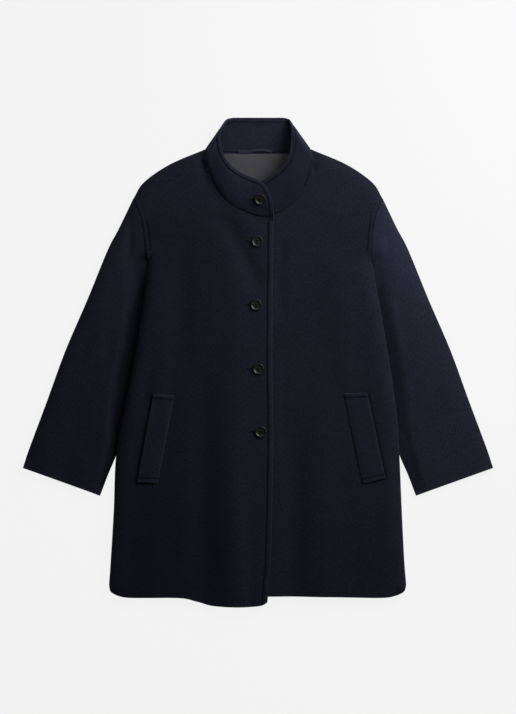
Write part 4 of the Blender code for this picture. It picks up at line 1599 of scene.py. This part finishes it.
@dataclass
class NeckInside:
    """What shows inside the back neck: a patch of lining and the hanger loop sewn over the neck seam."""

    satin: bpy.types.Material
    tape: bpy.types.Material
    lining_x: tuple[float, float] = (-0.080, 0.080)
    lining_y: tuple[float, float] = (0.335, 0.4215)
    lining_base: float = 0.0027
    lining_wall: float = 0.0008
    lining_ripple: float = 0.0004
    ripple_turns: float = 95.0
    ripple_sway: float = 1.1
    sway_turns: float = 60.0
    cross_turns: float = 130.0
    slant_turns: float = 24.0
    loop_x: tuple[float, float] = (-0.040, 0.028)
    loop_y: float = 0.4255
    loop_width: float = 0.006
    loop_base: float = 0.0039
    loop_wall: float = 0.0010
    loop_arch: float = 0.0035
    loop_arch_start: float = 0.35
    loop_crown: float = 0.0003
    loop_flat: tuple[float, float] = (0.0125, 0.070)
    loop_area: float = 0.00043

    def lining(self) -> bpy.types.Object:
        """The patch: a level sheet with slow ripples, a sum of sines of X and Y.

        Returns:
            The object.
        """
        across, up = np.meshgrid(np.linspace(*self.lining_x, 90), np.linspace(*self.lining_y, 60))
        sway = self.ripple_sway * np.sin(up * self.sway_turns)
        ripple = np.sin(across * self.ripple_turns + sway)
        ripple = ripple + np.sin(up * self.cross_turns + across * self.slant_turns)
        height = self.lining_base + self.lining_wall + self.lining_ripple * 0.5 * (1.0 + 0.5 * ripple)
        grid = ClothGrid(np.dstack([across, up, height]), self.lining_wall)
        piece = grid.piece("lining_patch", self.satin)
        flat = (self.lining_x[1] - self.lining_x[0], self.lining_y[1] - self.lining_y[0])
        return show(piece, Slot.LINING, "lining_back_neck")

    def loop(self) -> bpy.types.Object:
        """The loop: a narrow band, straight at one end, arched by a sine at the other, rounded across.

        Returns:
            The object.
        """
        run = np.linspace(0.0, 1.0, 80)[None, :]
        arched = np.clip((run - self.loop_arch_start) / (1.0 - self.loop_arch_start), 0.0, 1.0)
        arch = self.loop_arch * np.sin(math.pi * arched)
        across = np.linspace(-0.5, 0.5, 14)[:, None]
        x = self.loop_x[0] + (self.loop_x[1] - self.loop_x[0]) * run + 0.0 * across
        y = self.loop_y + arch + self.loop_width * across
        crown = self.loop_crown * np.cos(math.pi * across)
        z = self.loop_base + self.loop_wall + 0.5 * arch + crown
        piece = ClothGrid(np.dstack([x, y, z]), self.loop_wall).piece("wool_hanger_loop", self.tape)
        return show(piece, Slot.WOOL, "hanger_loop")


@dataclass
class Buttons:
    """Five turned four-hole buttons, their sewing and the worked buttonholes they go through."""

    horn: bpy.types.Material
    # painted shadow for the buttonhole mouths
    painted_slit_shadow: bpy.types.Material
    sewing: Sewing
    radius: float = 0.0115
    lift: float = 0.0003
    hole_radius: float = 0.0011
    hole_offset: float = 0.0022
    hole_depth: float = 0.0019
    hole_soft: float = 0.00018
    dish: float = 0.0024
    dish_reach: float = 0.0046
    rim_reach: float = 0.0047
    middle_reach: float = 0.0002
    strand_gap: float = 0.00042
    strand_rise: float = 0.0004
    strand_dip: float = 0.0009
    strand_points: int = 9
    slit_lift: float = 0.00025
    rim_lift: float = 0.0003
    steps: int = 96
    profile: Rows = (
        (0.0, 0.0024), (0.0036, 0.0024), (0.0068, 0.0025), (0.008, 0.0032), (0.0092, 0.0038),
        (0.0102, 0.004), (0.011, 0.0036), (0.0115, 0.0026), (0.0113, 0.0016), (0.0104, 0.0006),
        (0.0086, 0.0001), (0.0, 0.0),
    )
    slit_reach: tuple[float, float] = (-0.0225, 0.0035)
    slit_half_width: float = 0.00095
    eye_half_width: float = 0.0020
    eye_start: float = 0.8
    eye_ramp: float = 0.12

    def seat(self, ground: Ground, spot: tuple[float, float]) -> tuple[Array, Array]:
        """Plane a button lies on: the cloth's mean slope under it, raised to clear its highest spot.

        Args:
            ground: the cloth's height field.
            spot: X and Y of the button's middle.

        Returns:
            The middle of the button's underside, and axes in the plane and out of it as rows.
        """
        turn = np.linspace(0.0, 2.0 * math.pi, 32, endpoint=False)
        ring = np.stack([np.cos(turn), np.sin(turn)], axis=1) * self.radius
        spots = np.vstack([ring, 0.5 * ring, [[0.0, 0.0]]])
        height = ground(spots + np.array(spot))
        slope = np.linalg.lstsq(np.column_stack([spots, np.ones(len(spots))]), height, rcond=None)[0]
        rise = float((height - spots @ slope[:2]).max())
        up = np.array((-slope[0], -slope[1], 1.0))
        up = up / np.linalg.norm(up)
        across = np.array((1.0, 0.0, slope[0]))
        across = across / np.linalg.norm(across)
        axes = np.stack([across, np.cross(up, across), up])
        return np.array((*spot, rise)) + self.lift * up, axes

    def button(self, name: str, base: Array, axes: Array) -> bpy.types.Object:
        """A turned button: a smooth profile spun round, with four deep dimples pressed into its dish.

        Args:
            name: the object's name.
            base: the middle of the button's underside.
            axes: the button's axes as rows, the last one up.

        Returns:
            The object.
        """
        outline = even(self.profile, 110)
        inside = np.linspace(self.middle_reach, self.dish_reach, 40)
        top = np.stack([inside, np.interp(inside, outline[:60, 0], outline[:60, 1])], axis=1)
        rim = outline[outline[:, 0] > self.rim_reach]
        outline = np.vstack([top, rim, [[self.middle_reach, 0.0]]])
        turn = np.linspace(0.0, 2.0 * math.pi, self.steps, endpoint=False)
        x = outline[:, :1] * np.cos(turn)[None, :]
        y = outline[:, :1] * np.sin(turn)[None, :]
        z = np.repeat(outline[:, 1:], self.steps, axis=1)
        corner = self.hole_offset / math.sqrt(2.0)
        away = np.hypot(np.abs(x) - corner, np.abs(y) - corner)
        upper = (np.arange(len(outline)) < len(top))[:, None]
        z = z - self.hole_depth * upper * ease((self.hole_radius - away) / self.hole_soft + 0.5)
        points = base + np.dstack([x, y, z]).reshape(-1, 3) @ axes
        number = np.arange(points.shape[0]).reshape(z.shape)
        faces = [*grid_quads(number, True)[:, ::-1].tolist(), number[0].tolist(), number[-1, ::-1].tolist()]
        return add_mesh(name, points, faces, self.horn)

    def strands(self, base: Array, axes: Array) -> list[tuple[Array, Array]]:
        """Rows of thread from hole to hole, two bundles side by side.

        Args:
            base: the middle of the button's underside.
            axes: the button's axes as rows, the last one up.

        Returns:
            Points and normals of each row.
        """
        corner = self.hole_offset / math.sqrt(2.0)
        along = np.linspace(-1.0, 1.0, self.strand_points)
        height = self.dish + self.strand_rise - self.strand_dip * along ** 4
        up = np.repeat(axes[2:], self.strand_points, axis=0)
        rows = []
        for side in (-corner, corner):
            for offset in (-self.strand_gap, 0.0, self.strand_gap):
                local = np.stack([corner * along, np.full(self.strand_points, side + offset), height], axis=1)
                rows.append((base + local @ axes, up))
        return rows

    def buttonhole_line(self, spot: tuple[float, float]) -> Array:
        """Closed plan line round the slit: a narrow lens that widens to an eye at the end by the edge.

        Args:
            spot: X and Y of the button's middle.

        Returns:
            X and Y of the line's points.
        """
        low, high = self.slit_reach
        turn = np.linspace(0.0, 2.0 * math.pi, 161)
        share = 0.5 + 0.5 * np.cos(turn)
        eye = ease((share - self.eye_start) / self.eye_ramp)
        half = self.slit_half_width + (self.eye_half_width - self.slit_half_width) * eye
        x = low + (high - low) * share
        y = half * np.sign(np.sin(turn)) * np.abs(np.sin(turn)) ** 0.5
        return np.stack([x, y], axis=1) + np.array(spot)

    def slit(self, name: str, ground: Ground, spot: tuple[float, float]) -> bpy.types.Object:
        """Painted shadow in the mouth of a buttonhole: a dark strip between the two sides of its line.

        Args:
            name: the object's name.
            ground: the cloth's height field.
            spot: X and Y of the button's middle.

        Returns:
            The object.
        """
        line = self.buttonhole_line(spot)[:81]
        mirror = line * np.array((1.0, -1.0)) + np.array((0.0, 2.0 * spot[1]))
        u = np.linspace(0.0, 1.0, 5)[:, None, None]
        plan = (1.0 - u) * mirror[None] + u * line[None]
        face = np.dstack([plan, ground(plan) + self.slit_lift])
        number = np.arange(face.shape[0] * face.shape[1]).reshape(face.shape[:2])
        quads = grid_quads(number[:, ::-1], False).tolist()
        return show(add_mesh(name, face.reshape(-1, 3), quads, self.painted_slit_shadow), Slot.WOOL)

    def build(self, number: int, ground: Ground, spot: tuple[float, float]) -> None:
        """Make one button, its sewing and its buttonhole.

        Args:
            number: the button's number, from the collar down.
            ground: the cloth's height field.
            spot: X and Y of the button's middle.
        """
        base, axes = self.seat(ground, spot)
        show(self.button(f"horn_button_{number}", base, axes), Slot.BUTTON, f"button_{number}")
        strand = Sewing(self.sewing.thread, pitch=0.0036, length=0.0042, width=0.0005, height=0.0005)
        strand.sew(f"button_thread_{number}", self.strands(base, axes))
        line = self.buttonhole_line(spot)
        worked = Sewing(self.sewing.thread, pitch=0.0006, length=0.0019, width=0.00066, height=0.0007)
        rim = np.column_stack([line, ground(line) + self.rim_lift])
        worked.sew(f"buttonhole_{number}", [(rim, slopes(ground, line))], across=True)
        self.slit(f"buttonhole_slit_{number}", ground, spot)


@dataclass(frozen=True)
class Studio:
    """Pale floor, soft light from the upper right and a camera straight above."""

    distance: float = 5.0
    level: float = 0.02
    aim_y: float = 0.01015
    view_height: float = 1.4400
    sensor: float = 36.0
    floor_half: float = 4.0
    floor_z: float = -0.0004
    air_strength: float = 0.06
    lights: tuple = (
        ("key_upper_right", (1.00, 0.82, 0.94), 1.0, 28.0),
        ("fill_top", (-0.3, 1.4, 1.9), 1.5, 9.0),
    )

    def floor(self) -> None:
        """A wide level sheet under the coat."""
        reach = np.linspace(-self.floor_half, self.floor_half, 9)
        x, y = np.meshgrid(reach, reach)
        points = np.dstack([x, y, np.full(x.shape, self.floor_z)]).reshape(-1, 3)
        quads = grid_quads(np.arange(x.size).reshape(x.shape), False).tolist()
        add_mesh("studio_floor", points, quads, FloorFinish().material())

    def light(self, name: str, place: tuple[float, float, float], size: float, watts: float) -> None:
        """A square soft light that faces the coat.

        Args:
            name: the object's name.
            place: where it hangs.
            size: the length of its side.
            watts: its power.
        """
        lamp = bpy.data.lights.new(name, "AREA")
        lamp.energy = watts
        lamp.size = size
        holder = bpy.data.objects.new(name, lamp)
        holder.location = place
        holder.rotation_euler = (-holder.location).to_track_quat("-Z", "Y").to_euler()
        bpy.context.scene.collection.objects.link(holder)

    def world(self) -> None:
        """Even white light from all round."""
        world = bpy.data.worlds.new("studio_air")
        world.use_nodes = True
        air = world.node_tree.nodes["Background"]
        air.inputs["Color"].default_value = (1.0, 1.0, 1.0, 1.0)
        air.inputs["Strength"].default_value = self.air_strength
        bpy.context.scene.world = world

    def camera(self) -> None:
        """A camera straight above, framed as the photograph is."""
        lens = bpy.data.cameras.new("camera")
        lens.sensor_fit = "VERTICAL"
        lens.sensor_height = self.sensor
        lens.lens = self.sensor * self.distance / self.view_height
        holder = bpy.data.objects.new("camera", lens)
        holder.location = (0.0, self.aim_y, self.distance + self.level)
        bpy.context.scene.collection.objects.link(holder)
        bpy.context.scene.camera = holder

    def build(self) -> None:
        """Set out the floor, the lights and the camera."""
        self.floor()
        self.world()
        for name, place, size, watts in self.lights:
            self.light(name, place, size, watts)
        bpy.context.scene.view_settings.view_transform = "Standard"
        self.camera()


def lying_on(ground: Ground, line: Array, lift: float) -> tuple[Array, Array]:
    """A plan line laid on a height field and lifted, with the field's normals."""
    return np.column_stack([line, ground(line) + lift]), slopes(ground, line)


def inset_line(line: Array, inset: float, side: float) -> Array:
    """A plan line moved sideways by an inset, to the left of its run for a positive side.

    Args:
        line: points of the line.
        inset: how far it moves.
        side: 1 for the left of its run, -1 for the right.

    Returns:
        The moved points.
    """
    ahead = np.gradient(line, axis=0)
    ahead = ahead / np.linalg.norm(ahead, axis=1, keepdims=True)
    return line + side * inset * np.stack([-ahead[:, 1], ahead[:, 0]], axis=1)


@dataclass
class Seams:
    """Topstitching of the closing edge, the armholes and the collar, and the bar tacks that end it."""

    sewing: Sewing
    body: Body
    collar: Collar
    sink: float = 0.0001
    tack_half: float = 0.0040
    tack_shift: float = 0.004
    tack_lift: float = 0.0003
    row_slack: float = 0.001
    least_facing: float = 0.2
    least_points: int = 3

    def closing(self) -> None:
        """The row beside the upper front's edge."""
        line = inset_line(RIGHT.closing_edge(), self.body.edge_stitch.inset, 1.0)[2:]
        self.sewing.sew("stitch_closing_edge", [lying_on(self.body.ground(RIGHT), line, self.sink)])

    def armhole(self, half: HalfEdges) -> None:
        """The row beside an armhole, from the shoulder down to a bar tack.

        Args:
            half: the half of the coat.
        """
        line = inset_line(even(half.armhole, 60), self.body.armhole_stitch.inset, half.wearer.value)
        above = line[:, 1] > self.body.armhole_stitch_low
        line = line[above & (line[:, 1] < self.body.armhole_stitch_high)]
        ground = self.body.ground(half)
        name = half.wearer.word
        self.sewing.sew(f"stitch_armhole_{name}", [lying_on(ground, line, self.sink)])
        foot = line[0] + np.array((half.wearer.value * self.tack_shift, 0.0))
        bar = foot + np.linspace(-1.0, 1.0, 12)[:, None] * np.array((self.tack_half, 0.0))
        tack = Sewing(self.sewing.thread, pitch=0.0006, length=0.0018, width=0.0006, height=0.0006)
        tack.sew(f"bar_tack_{name}", [lying_on(ground, bar, self.tack_lift)], across=True)

    def neck(self) -> None:
        """The row below the collar's top edge, on the outer face in front and the inner face at the back."""
        face = self.collar.face()
        normal = ClothGrid(face, self.collar.wall).normals(face)
        row = np.abs(self.collar.edge_distance(face) - self.collar.stitch.inset)
        best = row.argmin(axis=0)
        columns = np.arange(face.shape[1])
        out = normal[best, columns]
        sunk = 0.5 * self.collar.wall * self.collar.pinch
        outer = face[best, columns] - sunk * out
        inner = face[best, columns] - (self.collar.wall - sunk) * out
        on_row = row[best, columns] < self.row_slack
        facing_up = out[:, 2]
        rows = []
        sides = ((outer, out, facing_up > self.least_facing), (inner, -out, facing_up < -self.least_facing))
        for line, facing, shows in sides:
            kept = np.flatnonzero(on_row & shows)
            stretches = np.split(kept, np.flatnonzero(np.diff(kept) > 1) + 1)
            rows.extend((line[part], facing[part]) for part in stretches if len(part) > self.least_points)
        self.sewing.sew("stitch_collar_edge", rows)


def collar_ground(collar: Collar) -> Ground:
    """Height field of the collar's upper front end: a cubic of X and Y fitted to its face.

    Args:
        collar: the collar.

    Returns:
        The height field.
    """
    face = collar.face()[:, -collar.front_ribs * collar.rib_steps:].reshape(-1, 3)
    middle = face[:, :2].mean(axis=0)

    def powers(plan: Array) -> Array:
        """Products of X and Y up to the third power, in units of a tenth of a metre."""
        x, y = (10.0 * (plan - middle)[..., axis] for axis in (0, 1))
        return np.stack([x ** a * y ** b for a in range(4) for b in range(4 - a)], axis=-1)

    weights = np.linalg.lstsq(powers(face[:, :2]), face[:, 2], rcond=None)[0]
    return lambda plan: powers(plan) @ weights


def main() -> None:
    """Build the coat piece by piece, then the studio round it."""
    logging.basicConfig(level=logging.INFO, format="%(name)s %(message)s")
    wool = WoolFinish().material()
    satin = LiningFinish().material()
    horn = HornFinish().material()
    threads = (
        ThreadFinish("navy_thread", (0.0030, 0.0032, 0.0062, 1.0), (0.0085, 0.0090, 0.0165, 1.0)),
        ThreadFinish("loop_tape", (0.010, 0.011, 0.022, 1.0), (0.030, 0.033, 0.056, 1.0)),
        # a dark finish laid in the buttonhole mouths as painted shadow
        ThreadFinish("slit_shadow", (0.0015, 0.0015, 0.0025, 1.0), (0.003, 0.003, 0.005, 1.0)),
    )
    navy, tape, painted_slit_shadow = (thread.material() for thread in threads)

    collar = Collar(wool)
    body = Body(wool, collar)
    body.back()
    body.front(LEFT)
    body.front(RIGHT)
    for half in (RIGHT, LEFT):
        Sleeve(wool, half).build()
    collar.build()
    inside = NeckInside(satin, tape)
    inside.lining()
    inside.loop()

    sewing = Sewing(navy)
    welts = (
        Welt(wool, body, RIGHT, (-0.211, -0.064), (-0.1675, -0.067), (-0.244, -0.2425), (-0.2015, -0.245)),
        Welt(wool, body, LEFT, (0.2195, -0.061), (0.172, -0.063), (0.257, -0.2345), (0.2095, -0.246)),
    )
    for welt in welts:
        welt.build()
        sewing.sew(f"stitch_welt_{welt.half.wearer.word}", welt.stitch_rows())

    buttons = Buttons(horn, painted_slit_shadow, sewing)
    buttons.build(1, collar_ground(collar), (0.0045, 0.327))
    spots = ((-0.0014, 0.243), (-0.004, 0.115), (0.001, -0.014), (0.005, -0.1405))
    for number, spot in enumerate(spots, start=2):
        buttons.build(number, body.ground(RIGHT), spot)

    seams = Seams(sewing, body, collar)
    seams.closing()
    seams.armhole(RIGHT)
    seams.armhole(LEFT)
    seams.neck()
    Studio().build()


if __name__ == "__main__":
    main()
